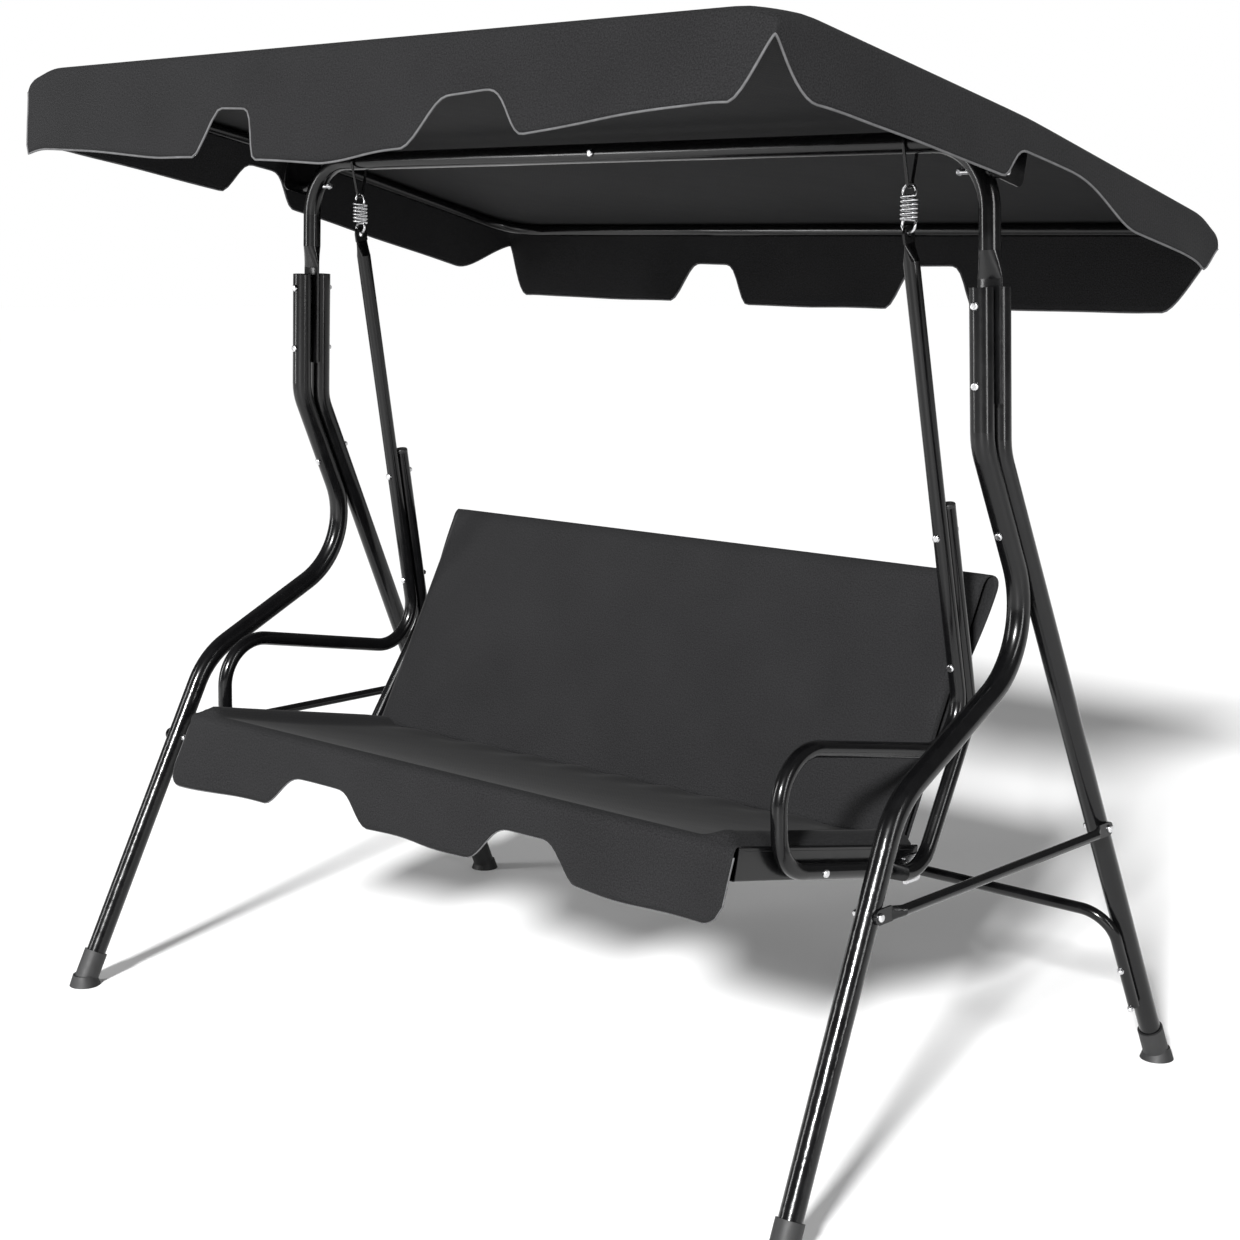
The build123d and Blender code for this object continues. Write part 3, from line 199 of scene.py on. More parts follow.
def round_wire(name, path, radius, closed=False, sides=8):
    """A mesh tube along a line of points."""
    path = np.asarray(path, float)
    nearby = np.roll(path, -1, 0) - np.roll(path, 1, 0)
    if not closed:
        nearby[0], nearby[-1] = path[1] - path[0], path[-1] - path[-2]
    tangent = nearby / np.linalg.norm(nearby, axis=1)[:, None]
    side = np.cross(tangent[0], (0.31, 0.17, 0.93))
    rings = []
    turn = np.linspace(0, 2 * math.pi, sides, endpoint=False)
    for point, along in zip(path, tangent):
        side = side - along * side.dot(along)
        side /= np.linalg.norm(side)
        other = np.cross(along, side)
        rings.append(
            point + radius * (np.outer(np.cos(turn), side) + np.outer(np.sin(turn), other))
        )
    count = len(rings)
    faces = []
    for i in range(count if closed else count - 1):
        j = (i + 1) % count
        for k in range(sides):
            n = (k + 1) % sides
            faces.append((i * sides + k, i * sides + n, j * sides + n, j * sides + k))
    if not closed:
        faces.append(tuple(range(sides))[::-1])
        faces.append(tuple(range((count - 1) * sides, count * sides)))
    mesh = bpy.data.meshes.new(name)
    mesh.from_pydata(np.concatenate(rings).tolist(), [], faces)
    mesh.shade_smooth()
    return mesh


# --- finishes --------------------------------------------------------------------

class Finish:
    """A new material with short ways to add its nodes."""

    def __init__(self, name):
        self.material = bpy.data.materials.new(name)
        self.material.use_nodes = True
        self.tree = self.material.node_tree
        self.shader = self.tree.nodes["Principled BSDF"]

    def node(self, kind, **inputs):
        made = self.tree.nodes.new(kind)
        for name, value in inputs.items():
            made.inputs[name.replace("_", " ")].default_value = value
        return made

    def link(self, start, end):
        self.tree.links.new(start, end)

    def set(self, **inputs):
        for name, value in inputs.items():
            self.shader.inputs[name.replace("_", " ")].default_value = value

    def noise(self, place, scale, detail=3.0, roughness=0.5):
        made = self.node("ShaderNodeTexNoise", Scale=scale, Detail=detail, Roughness=roughness)
        self.link(place, made.inputs["Vector"])
        return made.outputs["Fac"]

    def spread(self, value, low, high, start=0.3, end=0.7):
        """Maps a 0 to 1 value to a range of numbers."""
        made = self.node("ShaderNodeMapRange")
        for name, number in zip(
            ("From Min", "From Max", "To Min", "To Max"), (start, end, low, high)
        ):
            made.inputs[name].default_value = number
        self.link(value, made.inputs["Value"])
        return made.outputs["Result"]

    def shades(self, value, dark, light, start=0.3, end=0.7):
        """Maps a 0 to 1 value to a range of colours."""
        ramp = self.node("ShaderNodeValToRGB")
        for element, place, colour in zip(ramp.color_ramp.elements, (start, end), (dark, light)):
            element.position = place
            element.color = (*colour, 1)
        self.link(value, ramp.inputs["Fac"])
        return ramp.outputs["Color"]

    def relief(self, height, strength, distance, under=None):
        made = self.node("ShaderNodeBump", Strength=strength, Distance=distance)
        self.link(height, made.inputs["Height"])
        if under is not None:
            self.link(under, made.inputs["Normal"])
        return made.outputs["Normal"]

    def object_place(self):
        return self.node("ShaderNodeTexCoord").outputs["Object"]


def scaled(colour, share):
    return tuple(channel * share for channel in colour)


def powder_coat(name, colour):
    """Black powder coat: glossy, with a fine orange peel."""
    finish = Finish(name)
    place = finish.object_place()
    mottle = finish.noise(place, 38.0)
    finish.link(
        finish.shades(mottle, scaled(colour, 0.85), scaled(colour, 1.2)),
        finish.shader.inputs["Base Color"],
    )
    finish.link(finish.spread(mottle, 0.16, 0.25), finish.shader.inputs["Roughness"])
    peel = finish.noise(place, 520.0, 2.0)
    finish.link(finish.relief(peel, 0.06, 0.0004), finish.shader.inputs["Normal"])
    finish.set(Coat_Weight=0.06, Coat_Roughness=0.06, Specular_IOR_Level=0.28)
    return finish.material


def zinc_plate(name, colour):
    """Bright zinc plating with a faint cloud and fine brushing."""
    finish = Finish(name)
    place = finish.object_place()
    cloud = finish.noise(place, 90.0, 4.0)
    finish.link(
        finish.shades(cloud, scaled(colour, 0.72), scaled(colour, 1.12)),
        finish.shader.inputs["Base Color"],
    )
    finish.link(finish.spread(cloud, 0.2, 0.36), finish.shader.inputs["Roughness"])
    fine = finish.noise(place, 1500.0, 2.0)
    finish.link(finish.relief(fine, 0.08, 0.0002), finish.shader.inputs["Normal"])
    finish.set(Metallic=1.0)
    return finish.material


def moulded(name, colour, roughness):
    """Moulded rubber or plastic with a fine grain."""
    finish = Finish(name)
    place = finish.object_place()
    cloud = finish.noise(place, 60.0)
    finish.link(
        finish.shades(cloud, scaled(colour, 0.8), scaled(colour, 1.3)),
        finish.shader.inputs["Base Color"],
    )
    finish.link(
        finish.spread(cloud, roughness - 0.06, roughness + 0.06),
        finish.shader.inputs["Roughness"],
    )
    grain = finish.noise(place, 1100.0, 2.0)
    finish.link(finish.relief(grain, 0.15, 0.0003), finish.shader.inputs["Normal"])
    return finish.material


def oxford_cloth(name, colour):
    """Woven oxford cloth: crossed threads, a heathered grain and soft creases."""
    finish = Finish(name)
    flat = finish.node("ShaderNodeUVMap")
    flat.uv_map = "Cloth"
    place = flat.outputs["UV"]
    heights = []
    for direction in ("X", "Y"):
        threads = finish.node(
            "ShaderNodeTexWave", Scale=THREADS_PER_METRE / 20, Distortion=1.2, Detail=1.0,
            Detail_Scale=1.5,
        )
        threads.bands_direction = direction
        finish.link(place, threads.inputs["Vector"])
        heights.append(threads.outputs["Fac"])
    weave = finish.node("ShaderNodeMath")
    weave.operation = "MULTIPLY"
    finish.link(heights[0], weave.inputs[0])
    finish.link(heights[1], weave.inputs[1])
    grain = finish.noise(place, 460.0, 3.0, 0.7)
    cloud = finish.noise(place, 7.0, 4.0)
    tone = finish.node("ShaderNodeMix")
    tone.data_type = "FLOAT"
    tone.inputs["Factor"].default_value = 0.09
    finish.link(grain, tone.inputs["A"])
    finish.link(cloud, tone.inputs["B"])
    heather = finish.shades(
        tone.outputs["Result"], scaled(colour, 0.40), scaled(colour, 1.75), 0.36, 0.64
    )
    finish.link(heather, finish.shader.inputs["Base Color"])
    finish.link(finish.spread(grain, 0.78, 0.92), finish.shader.inputs["Roughness"])
    woven = finish.relief(weave.outputs["Value"], 0.35, 0.0004)
    creased = finish.relief(finish.noise(place, 16.0, 2.0), 0.10, 0.006, woven)
    finish.link(creased, finish.shader.inputs["Normal"])
    finish.set(Sheen_Weight=0.02, Sheen_Roughness=0.4, Specular_IOR_Level=0.08)
    return finish.material


def swing_finishes():
    """The finishes by material slot, made once."""
    colours = bpy.context.scene.swing_finishes
    makers = {
        "frame_paint": ("black_powder_coat", powder_coat, colours.frame),
        "hook_wire": ("black_painted_wire", powder_coat, colours.frame),
        "zinc": ("bright_zinc", zinc_plate, colours.zinc),
        "foot_rubber": ("black_foot_rubber", moulded, colours.rubber, 0.6),
        "plug_plastic": ("black_plug_plastic", moulded, colours.rubber, 0.42),
        "seat_fabric": ("seat_oxford", oxford_cloth, colours.cloth),
        "canopy_fabric": ("canopy_oxford", oxford_cloth, colours.cloth),
        "piping": ("edge_binding", moulded, colours.piping, 0.7),
    }
    return {
        slot: bpy.data.materials.get(name) or make(name, *rest)
        for slot, (name, make, *rest) in makers.items()
    }


class SwingFinishes(PropertyGroup):
    """Colours of the swing's finishes."""

    frame: FloatVectorProperty(
        name="Frame", description="Powder coat of the tubes", subtype="COLOR",
        size=3, default=(0.0022, 0.0022, 0.0024), min=0, max=1,
    )
    zinc: FloatVectorProperty(
        name="Zinc", description="Plating of bolts, springs and corner plates",
        subtype="COLOR", size=3, default=(0.66, 0.66, 0.67), min=0, max=1,
    )
    rubber: FloatVectorProperty(
        name="Rubber", description="Feet and tube plugs", subtype="COLOR",
        size=3, default=(0.0075, 0.0075, 0.0078), min=0, max=1,
    )
    cloth: FloatVectorProperty(
        name="Cloth", description="Roof, seat and backrest", subtype="COLOR",
        size=3, default=(0.0110, 0.0110, 0.0115), min=0, max=1,
    )
    piping: FloatVectorProperty(
        name="Edge binding", description="Binding along the hems", subtype="COLOR",
        size=3, default=(0.065, 0.065, 0.067), min=0, max=1,
    )


class SWING_OT_finishes(Operator):
    """Gives every tube, bolt, foot and hook its finish"""

    bl_idname = "swing.finishes"
    bl_label = "Frame finishes"

    def execute(self, context):
        finishes = swing_finishes()
        for part in frame["record"]["subparts"]:
            node = frame["nodes"][part["node"]]
            for place in range(len(node.data.materials)):
                node.data.materials[place] = finishes[part["material_slot"]]
            if not node.data.materials:
                node.data.materials.append(finishes[part["material_slot"]])
        return {"FINISHED"}


# --- springs ---------------------------------------------------------------------

class SwingSprings(PropertyGroup):
    """Sizes of the springs."""

    wire: FloatProperty(
        name="Wire", description="Diameter of the spring wire", subtype="DISTANCE",
        unit="LENGTH", default=0.004, min=0.002, max=0.006,
    )
    turns: FloatProperty(
        name="Turns", description="Turns in the coil", default=6.0, min=3.0, max=12.0,
    )


class SWING_OT_springs(Operator):
    """Winds the springs in place of the frame's own spring parts"""

    bl_idname = "swing.springs"
    bl_label = "Springs"

    def execute(self, context):
        sizes = context.scene.swing_springs
        finish = swing_finishes()["zinc"]
        for side in ("right", "left"):
            low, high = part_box(f"spring_{side}")
            middle = (low[0] + high[0]) / 2
            radius, neck = SPRING_RADIUS, SPRING_NECK
            top, bottom = high[2] - sizes.wire / 2, low[2] + sizes.wire / 2
            coil_top, coil_low = top - radius - neck, bottom + radius + neck
            path = self.wound(middle, radius, neck, coil_top, coil_low, sizes.turns)
            if side == "left":
                path[:, 0] = 2 * middle - path[:, 0]
            mesh = round_wire(f"spring_wire_{side}", path, sizes.wire / 2, sides=10)
            spring = add_piece(f"spring_wire_{side}", mesh, finish)
            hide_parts(f"spring_{side}")
            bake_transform(spring)
        return {"FINISHED"}

    @staticmethod
    def wound(x, radius, neck, coil_top, coil_low, turns):
        """The wire's line: lower loop, coil and upper loop."""
        loop = np.radians(np.linspace(215, 0, 26))
        upper = [
            (x + radius * math.cos(a), 0, coil_top + neck + radius * math.sin(a)) for a in loop
        ]
        rise = np.linspace(0, 1, int(turns * 28) + 1)
        coil = [
            (
                x + radius * math.cos(2 * math.pi * turns * t),
                radius * math.sin(2 * math.pi * turns * t),
                coil_low + (coil_top - coil_low) * t,
            )
            for t in rise
        ]
        lower = [(px, 0, coil_low - neck - (pz - coil_top - neck)) for px, _, pz in upper]
        return np.array(lower + coil[1:-1] + upper[::-1])


# --- canopy ----------------------------------------------------------------------

class SwingCanopy(PropertyGroup):
    """Sizes of the roof and its valances."""

    tilt: FloatProperty(
        name="Tilt", description="Roof's slope, front up", subtype="ANGLE",
        unit="ROTATION", default=math.radians(12.6), min=0.0, max=0.5,
    )
    fold: FloatProperty(
        name="Fold", description="How far each half drops from the ridge", subtype="ANGLE",
        unit="ROTATION", default=math.radians(1.35), min=0.0, max=0.1,
    )
    sag: FloatProperty(
        name="Sag", description="Sag of the roof between its bars", subtype="DISTANCE",
        unit="LENGTH", default=0.006, min=0.0, max=0.02,
    )
    droop: FloatProperty(
        name="Corner droop", description="How far the corners hang past the frame",
        subtype="DISTANCE", unit="LENGTH", default=0.016, min=0.0, max=0.05,
    )
    flare: FloatProperty(
        name="Flare", description="How far the hems stand out", subtype="DISTANCE",
        unit="LENGTH", default=0.010, min=0.0, max=0.04,
    )
    cloth: FloatProperty(
        name="Cloth", description="Thickness of the cloth", subtype="DISTANCE",
        unit="LENGTH", default=0.0012, min=0.0005, max=0.003,
    )


class SWING_OT_canopy(Operator):
    """Makes the roof and its scalloped valances as one sheet, with bound hems"""

    bl_idname = "swing.canopy"
    bl_label = "Canopy"

    ROWS = 14
    STEP = 0.009
    # Valances: drop at the two ends and the middle, scallops (foot, head, head, foot,
    # rise), climbs to the corners.
    STRIPS = {
        "front": (
            (0.122, 0.150, 0.168, 0.140, 0.100),
            ((-0.292, -0.245, -0.205, -0.142, 0.078), (0.185, 0.262, 0.310, 0.410, 0.070)),
            (0.030, 0.060),
        ),
        "rear": (
            (0.128, 0.138, 0.130),
            ((-0.340, -0.272, -0.222, -0.154, 0.074), (0.165, 0.238, 0.292, 0.362, 0.076)),
            (0.070, 0.085),
        ),
        "right": ((0.094, 0.086, 0.062), ((-0.085, -0.005, 0.070, 0.300, 0.048),), (0.085, 0.045)),
        "left": ((0.106, 0.100, 0.104), ((-0.155, -0.090, -0.060, 0.015, 0.060),), (0.070, 0.140)),
    }

    def execute(self, context):
        self.size = context.scene.swing_canopy
        pivot = Vector(JOINTS["canopy_tilt"]["pos_m"])
        tilt = self.size.tilt
        self.ridge = pivot + ROOF_RISE * Vector((0, math.sin(tilt), math.cos(tilt)))
        across = cloth_marks(ROOF_HALF_WIDTH, ROOF_HALF_WIDTH, self.STEP)
        along = cloth_marks(ROOF_FRONT, ROOF_REAR, self.STEP)
        grid_p, grid_q = np.meshgrid(across, along)
        roof = (self.laid(grid_p, grid_q), np.stack([grid_p, grid_q], axis=-1))
        patches, hems = [roof], []
        for name in ("front", "right", "rear", "left"):
            patch, hem = self.strip(name, across, along)
            patches.append(patch)
            hems.append(hem)
        finishes = swing_finishes()
        cover = add_piece(
            "canopy_cover", mesh_of("canopy_cover", patches), finishes["canopy_fabric"]
        )
        thicken(cover, self.size.cloth)
        hems[2], hems[3] = hems[2][::-1], hems[3][::-1]
        line = np.concatenate([hem[:-1] for hem in hems])
        binding = add_piece(
            "canopy_binding", round_wire("canopy_binding", line, 0.0017, closed=True),
            finishes["piping"],
        )
        for piece in (cover, binding):
            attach(piece, "canopy")
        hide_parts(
            "canopy_top", "canopy_valance_front", "canopy_valance_rear",
            "canopy_valance_right", "canopy_valance_left",
        )
        return {"FINISHED"}

    def laid(self, p, q, depth=0.0, out_x=0.0, out_y=0.0):
        """Points of the cloth over the tilted frame."""
        x, down_x = turned(p, ROOF_HALF_WIDTH)
        limit = np.where(q < 0, ROOF_FRONT, ROOF_REAR)
        a, down_a = turned(q, limit)
        across = np.clip(1 - (np.abs(x) / FRAME_X) ** 2, 0, 1)
        slack = across * np.sin(math.pi * np.clip(np.abs(a) / FRAME_REACH, 0, 1)) ** 2
        past_bend = np.hypot(
            np.maximum(np.abs(x) - BEND_X, 0),
            np.maximum(np.abs(a) - limit + ROOF_FRONT - BEND_A, 0),
        )
        sag = self.size.sag * slack + self.size.droop * ease((past_bend - BEND_OUTER) / 0.05)
        fold = math.tan(self.size.fold) * (np.sqrt(a ** 2 + 0.03 ** 2) - 0.03)
        up = ROOF_UP - down_x - down_a - depth - sag - fold
        a = a + out_y
        tilt = self.size.tilt
        y = self.ridge.y + a * math.cos(tilt) + up * math.sin(tilt)
        z = self.ridge.z - a * math.sin(tilt) + up * math.cos(tilt)
        return np.stack(np.broadcast_arrays(x + out_x, y, z), axis=-1)

    def strip(self, name, across, along):
        """One valance as a grid, and its hem."""
        drop, scallops, climbs = self.STRIPS[name]
        crossways = name in ("front", "rear")
        marks = across if crossways else along
        if crossways:
            place, down = turned(marks, ROOF_HALF_WIDTH)
            ends = (-ROOF_HALF_WIDTH, ROOF_HALF_WIDTH)
        else:
            place, down = turned(marks, np.where(marks < 0, ROOF_FRONT, ROOF_REAR))
            ends = (-ROOF_FRONT, ROOF_REAR)
        hem = hem_depth(place, *ends, drop, scallops, climbs) - down
        share = np.linspace(0, 1, self.ROWS)[:, None]
        depth = share * hem[None, :]
        free = ease(np.minimum(place - ends[0], ends[1] - place) / 0.16)[None, :]
        fall = depth / 0.14
        ripple = np.sin(place / 0.062 + len(name)) + 0.6 * np.sin(place / 0.037 + 2 * len(name))
        out = free * fall * (self.size.flare + 0.0045 * ripple[None, :] * fall)
        if name == "right":
            out = out + free * fall * 0.022
        edge = marks[None, :] + 0 * share
        if crossways:
            sign = -1 if name == "front" else 1
            fixed = sign * ((ROOF_FRONT if sign < 0 else ROOF_REAR) + 1.0) + 0 * edge
            grid = self.laid(edge, fixed, depth, 0.0, sign * out)
            flat = np.stack([edge, sign * (ROOF_FRONT + depth)], axis=-1)
        else:
            sign = 1 if name == "right" else -1
            fixed = sign * (ROOF_HALF_WIDTH + 1.0) + 0 * edge
            grid = self.laid(fixed, edge, depth, sign * out, 0.0)
            flat = np.stack([sign * (ROOF_HALF_WIDTH + depth), edge], axis=-1)
        return (grid, flat), grid[-1]


# --- seat ------------------------------------------------------------------------

class SwingSeat(PropertyGroup):
    """Sizes of the sling seat and the backrest."""

    slope: FloatProperty(
        name="Slope", description="Seat's slope down to the rear", subtype="ANGLE",
        unit="ROTATION", default=math.radians(11.5), min=0.0, max=0.5,
    )
    sag: FloatProperty(
        name="Sag", description="Sag of the sling between its bars", subtype="DISTANCE",
        unit="LENGTH", default=0.012, min=0.0, max=0.05,
    )
    roll: FloatProperty(
        name="Side roll", description="Height of the rolled side edges", subtype="DISTANCE",
        unit="LENGTH", default=0.014, min=0.0, max=0.03,
    )
    recline: FloatProperty(
        name="Recline", description="Backrest's lean from upright", subtype="ANGLE",
        unit="ROTATION", default=math.radians(28.5), min=0.0, max=1.0,
    )
    cloth: FloatProperty(
        name="Cloth", description="Thickness of the doubled cloth", subtype="DISTANCE",
        unit="LENGTH", default=0.0016, min=0.0005, max=0.004,
    )


class SWING_OT_seat(Operator):
    """Makes the sling from the rear bar over the front bar, with its scalloped valance"""

    bl_idname = "swing.seat"
    bl_label = "Seat sling"

    SCALLOPS = (
        (-0.400, -0.302, -0.230, -0.145, 0.054),
        (0.090, 0.196, 0.245, 0.320, 0.060),
    )

    def execute(self, context):
        size = context.scene.swing_seat
        front_low, front_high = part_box("seat_front_bar")
        centre = (np.array(front_low) + np.array(front_high)) / 2
        slope = size.slope
        x, rows = np.linspace(-SIDE_BAR_FACE, SIDE_BAR_FACE, 150), 44
        # Side view: along the slope and up from the bars' centres.
        rear = np.radians(np.linspace(-100, 90, 14))
        nose = np.radians(np.linspace(90, 180 + math.degrees(slope), 12))
        along = np.concatenate([
            SEAT_DEPTH + SLING_RADIUS * np.cos(rear),
            np.linspace(SEAT_DEPTH, 0, rows)[1:-1],
            SLING_RADIUS * np.cos(nose),
        ])
        up = np.concatenate([
            SLING_RADIUS * np.sin(rear),
            np.full(rows - 2, SLING_RADIUS),
            SLING_RADIUS * np.sin(nose),
        ])
        spread_x, spread_a = np.meshgrid(x, along)
        _, spread_u = np.meshgrid(x, up)
        inside = np.clip(spread_a / SEAT_DEPTH, 0, 1)
        dip = np.sin(math.pi * inside) ** 0.8 * np.clip(1 - (np.abs(spread_x) / 0.60) ** 6, 0, 1)
        folds = 0.0022 * np.sin(spread_x / 0.021 + 2.2 * np.sin(spread_x / 0.17)) * np.exp(
            -((inside - 0.97) / 0.07) ** 2
        )
        edge = np.clip((np.abs(spread_x) - 0.545) / 0.075, 0, 1)
        on_top = ease((spread_u - 0.004) / 0.010) * ease((spread_a + 0.012) / 0.02)
        rolled = size.roll * np.sin(math.pi * edge ** 1.4) ** 1.2 * on_top
        tuck = 0.010 * np.clip((np.abs(spread_x) - 0.612) / 0.0125, 0, 1) ** 2 * on_top
        height = spread_u - size.sag * dip + folds + rolled - tuck
        y = centre[1] + spread_a * math.cos(slope) + height * math.sin(slope)
        z = centre[2] - spread_a * math.sin(slope) + height * math.cos(slope)
        seat = np.stack([spread_x, y, z], axis=-1)
        run = np.concatenate([[0], np.cumsum(np.hypot(np.diff(along), np.diff(up)))])
        flat = np.stack(np.meshgrid(x, run), axis=-1)

        depth = np.linspace(0, 1, 14)[:, None] * self.hem(x)[None, :]
        top_y, top_z = seat[-1, :, 1], seat[-1, :, 2]
        fall = depth / 0.1
        swing_out = 0.034 * ease((-0.25 - x) / 0.37) + 0.006
        ripple = 0.004 * np.sin(x / 0.055) + 0.003 * np.sin(x / 0.031 + 1)
        out = fall * (swing_out + ripple * fall)
        lean = 0.012 * ease((-0.5 - x) / 0.12) + 0.022 * ease((x - 0.53) / 0.09)
        valance = np.stack(
            [x[None, :] - lean * fall, top_y - out, top_z - depth], axis=-1
        )
        flat_low = np.stack([x[None, :] + 0 * depth, run[-1] + depth], axis=-1)
        finishes = swing_finishes()
        mesh = mesh_of("seat_sling", [(seat, flat), (valance, flat_low)])
        sling = add_piece("seat_sling", mesh, finishes["seat_fabric"])
        thicken(sling, size.cloth, 1.0)
        line = np.concatenate([valance[:0:-1, 0], valance[-1], valance[-2::-1, -1]])
        binding = add_piece(
            "seat_binding", round_wire("seat_binding", line, 0.0016), finishes["piping"]
        )
        for piece in (sling, binding):
            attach(piece, "seat")
        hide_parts("seat_cover", "seat_valance")
        return {"FINISHED"}

    def hem(self, x):
        """Depth of the valance below the front bar, rounded at its two lower corners."""
        depth = np.full_like(x, SEAT_DROP)
        for *shape, rise in self.SCALLOPS:
            depth = depth - rise * scallop(x, *shape)
        rounding = 0.035
        corner = np.clip((np.abs(x) - (SIDE_BAR_FACE - rounding)) / rounding, 0, 1)
        return depth - 0.030 * (1 - np.sqrt(1 - corner ** 2))


class SWING_OT_backrest(Operator):
    """Makes the pocket that hangs over the backrest frame"""

    bl_idname = "swing.backrest"
    bl_label = "Backrest cover"

    def execute(self, context):
        size = context.scene.swing_seat
        low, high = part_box("seat_rear_bar")
        foot = (np.array(low) + np.array(high)) / 2
        lean = size.recline
        reach, rows = 0.0126, 44
        rise = np.linspace(BACK_HEM, BACK_HEIGHT, rows)
        over = np.radians(np.linspace(0, 180, 12))[1:-1]
        up = np.concatenate([rise, BACK_HEIGHT + 1.75 * reach * np.sin(over) ** 1.4, rise[::-1]])
        forward = np.concatenate(
            [np.full(rows, reach), reach * np.cos(over), np.full(rows, -reach)]
        )
        across = np.linspace(-1, 1, 150)
        grid_s, grid_u = np.meshgrid(across, up)
        _, grid_f = np.meshgrid(across, forward)
        front = ease((grid_f + reach) / (2 * reach))
        wing = 0.020 * ease((grid_u - 0.20) / 0.24) * (1 - front)
        x = grid_s * (BACK_COVER_X + wing)
        inside = np.clip(1 - (np.abs(x) / BACK_TUBE_X) ** 4, 0, 1)
        below = np.clip((BACK_HEIGHT - 0.02 - grid_u) / 0.10, 0, 1)
        pull = 0.006 * inside * ease(below)
        past = np.clip((np.abs(x) - BACK_TUBE_X) / 0.015, 0, 1)
        f = grid_f * (1 - 0.55 * past) - np.where(grid_f > 0, pull, -0.3 * pull)
        near_hem = np.exp(-(((grid_u - 0.03) / 0.05) ** 2))
        f = f + 0.0016 * inside * np.sin(x / 0.045 + 3 * grid_u) * near_hem
        y = foot[1] + grid_u * math.sin(lean) - f * math.cos(lean)
        z = foot[2] + grid_u * math.cos(lean) + f * math.sin(lean)
        points = np.stack([x, y, z], axis=-1)
        run = np.concatenate([[0], np.cumsum(np.hypot(np.diff(up), np.diff(forward)))])
        flat = np.stack(np.broadcast_arrays(x, run[:, None]), axis=-1)
        finishes = swing_finishes()
        mesh = mesh_of("backrest_sleeve", [(points, flat)])
        cover = add_piece("backrest_sleeve", mesh, finishes["seat_fabric"])
        thicken(cover, size.cloth, 1.0)
        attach(cover, "seat")
        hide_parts("backrest_cover")
        return {"FINISHED"}


# --- studio ----------------------------------------------------------------------

class SwingStudio(PropertyGroup):
    """Floor, light and camera."""

    floor: FloatVectorProperty(
        name="Floor", description="Colour of the floor", subtype="COLOR",
        size=3, default=(0.90, 0.90, 0.90), min=0, max=1,
    )
    sun: FloatProperty(
        name="Key light", description="Strength of the soft key light", default=7.4,
        min=0.0, max=10.0,
    )
    sky: FloatProperty(
        name="Room light", description="Strength of the light from all round",
        default=0.21, min=0.0, max=5.0,
    )
    lens: FloatProperty(
        name="Lens", description="Focal length in millimetres", default=62.13,
        min=20.0, max=200.0,
    )


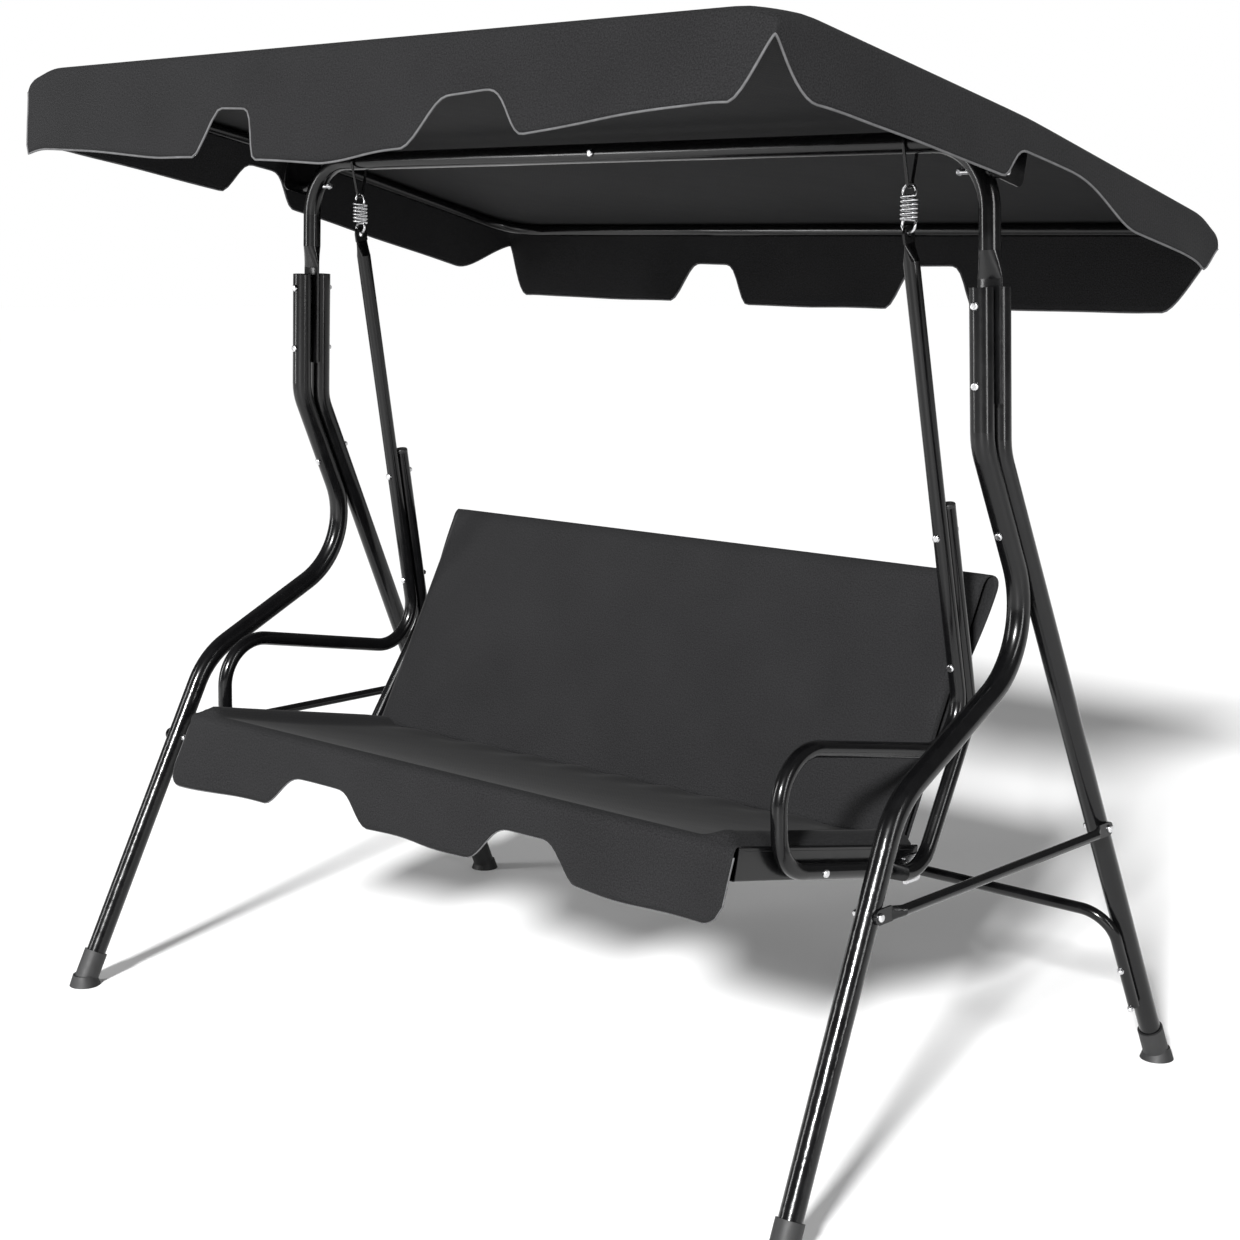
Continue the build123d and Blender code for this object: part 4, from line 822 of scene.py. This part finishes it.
class SWING_OT_studio(Operator):
    """Sets up the floor, the lights and the camera"""

    bl_idname = "swing.studio"
    bl_label = "Studio"

    def execute(self, context):
        studio = context.scene.swing_studio
        scene = context.scene
        self.lay_floor(studio)
        self.light(scene, studio)
        camera = bpy.data.objects.new("Camera", bpy.data.cameras.new("Camera"))
        camera.data.lens, camera.data.sensor_width = studio.lens, 36.0
        camera.data.clip_end = 200.0
        turn = (
            Matrix.Rotation(math.radians(CAMERA_TURN), 4, "Z")
            @ Matrix.Rotation(math.radians(90 - CAMERA_DOWN), 4, "X")
            @ Matrix.Rotation(math.radians(CAMERA_ROLL), 4, "Z")
        )
        camera.matrix_world = Matrix.Translation(CAMERA_PLACE) @ turn
        scene.collection.objects.link(camera)
        scene.camera = camera
        scene.view_settings.view_transform = "Standard"
        scene.view_settings.exposure = 0.0
        return {"FINISHED"}

    @staticmethod
    def lay_floor(studio):
        """A pale floor with a very faint grain."""
        work = bmesh.new()
        bmesh.ops.create_circle(work, cap_ends=True, segments=96, radius=40.0)
        mesh = bpy.data.meshes.new("floor")
        work.to_mesh(mesh)
        work.free()
        finish = Finish("pale_floor")
        cloud = finish.noise(finish.object_place(), 3.0)
        pale = tuple(studio.floor)
        finish.link(
            finish.shades(cloud, scaled(pale, 0.985), pale), finish.shader.inputs["Base Color"]
        )
        finish.set(Roughness=0.6)
        floor = add_piece("floor", mesh, finish.material)

    @staticmethod
    def light(scene, studio):
        """Even room light, a soft key from the front right and two long softboxes."""
        world = bpy.data.worlds.new("Studio")
        world.use_nodes = True
        scene.world = world
        tree = world.node_tree
        room = tree.nodes["Background"]
        room.inputs["Color"].default_value = (1, 1, 1, 1)
        room.inputs["Strength"].default_value = studio.sky
        seen = tree.nodes.new("ShaderNodeBackground")
        seen.inputs["Color"].default_value = (1, 1, 1, 1)
        dim = tree.nodes.new("ShaderNodeBackground")
        dim.inputs["Color"].default_value = (1, 1, 1, 1)
        dim.inputs["Strength"].default_value = studio.sky * 0.6
        path = tree.nodes.new("ShaderNodeLightPath")
        light = room.outputs[0]
        for ray, other in (("Is Glossy Ray", dim), ("Is Camera Ray", seen)):
            mix = tree.nodes.new("ShaderNodeMixShader")
            tree.links.new(path.outputs[ray], mix.inputs[0])
            tree.links.new(light, mix.inputs[1])
            tree.links.new(other.outputs[0], mix.inputs[2])
            light = mix.outputs[0]
        tree.links.new(light, tree.nodes["World Output"].inputs["Surface"])
        key = bpy.data.lights.new("Key", "SUN")
        key.energy, key.angle = studio.sun, math.radians(7)
        lamp = bpy.data.objects.new("Key", key)
        lamp.rotation_euler = Vector(KEY_FROM).to_track_quat("Z", "Y").to_euler()
        scene.collection.objects.link(lamp)
        for name, place, aim, size, power in (
            ("Softbox_left", (-3.2, -3.4, 1.9), (0, 0, 0.9), (0.7, 2.6), 90.0),
            ("Softbox_right", (4.4, -0.6, 1.8), (0, 0, 0.9), (0.5, 2.4), 60.0),
        ):
            box = bpy.data.lights.new(name, "AREA")
            box.shape, box.size, box.size_y, box.energy = "RECTANGLE", *size, power
            lamp = bpy.data.objects.new(name, box)
            lamp.location = place
            lamp.rotation_euler = (Vector(place) - Vector(aim)).to_track_quat("Z", "Y").to_euler()
            scene.collection.objects.link(lamp)


class SWING_PT_panel(Panel):
    """Lists the swing's pieces"""

    bl_idname = "SWING_PT_panel"
    bl_label = "Canopy Glider Swing"
    bl_space_type = "VIEW_3D"
    bl_region_type = "UI"
    bl_category = "Swing"

    def draw(self, context):
        for operator in OPERATORS:
            self.layout.operator(operator.bl_idname)
        for name, group in GROUPS.items():
            box = self.layout.box()
            box.label(text=group.__doc__)
            for key in group.__annotations__:
                box.prop(getattr(context.scene, name), key)


GROUPS = {
    "swing_finishes": SwingFinishes,
    "swing_springs": SwingSprings,
    "swing_canopy": SwingCanopy,
    "swing_seat": SwingSeat,
    "swing_studio": SwingStudio,
}
OPERATORS = (
    SWING_OT_finishes,
    SWING_OT_springs,
    SWING_OT_canopy,
    SWING_OT_seat,
    SWING_OT_backrest,
    SWING_OT_studio,
)
CLASSES = (*GROUPS.values(), *OPERATORS, SWING_PT_panel)


def register():
    for cls in CLASSES:
        bpy.utils.register_class(cls)
    for name, group in GROUPS.items():
        setattr(bpy.types.Scene, name, bpy.props.PointerProperty(type=group))


def unregister():
    for name in GROUPS:
        delattr(bpy.types.Scene, name)
    for cls in reversed(CLASSES):
        bpy.utils.unregister_class(cls)


def main():
    register()
    bpy.ops.swing.finishes()
    bpy.ops.swing.springs()
    bpy.ops.swing.canopy()
    bpy.ops.swing.seat()
    bpy.ops.swing.backrest()
    bpy.ops.swing.studio()


if __name__ == "__main__":
    main()
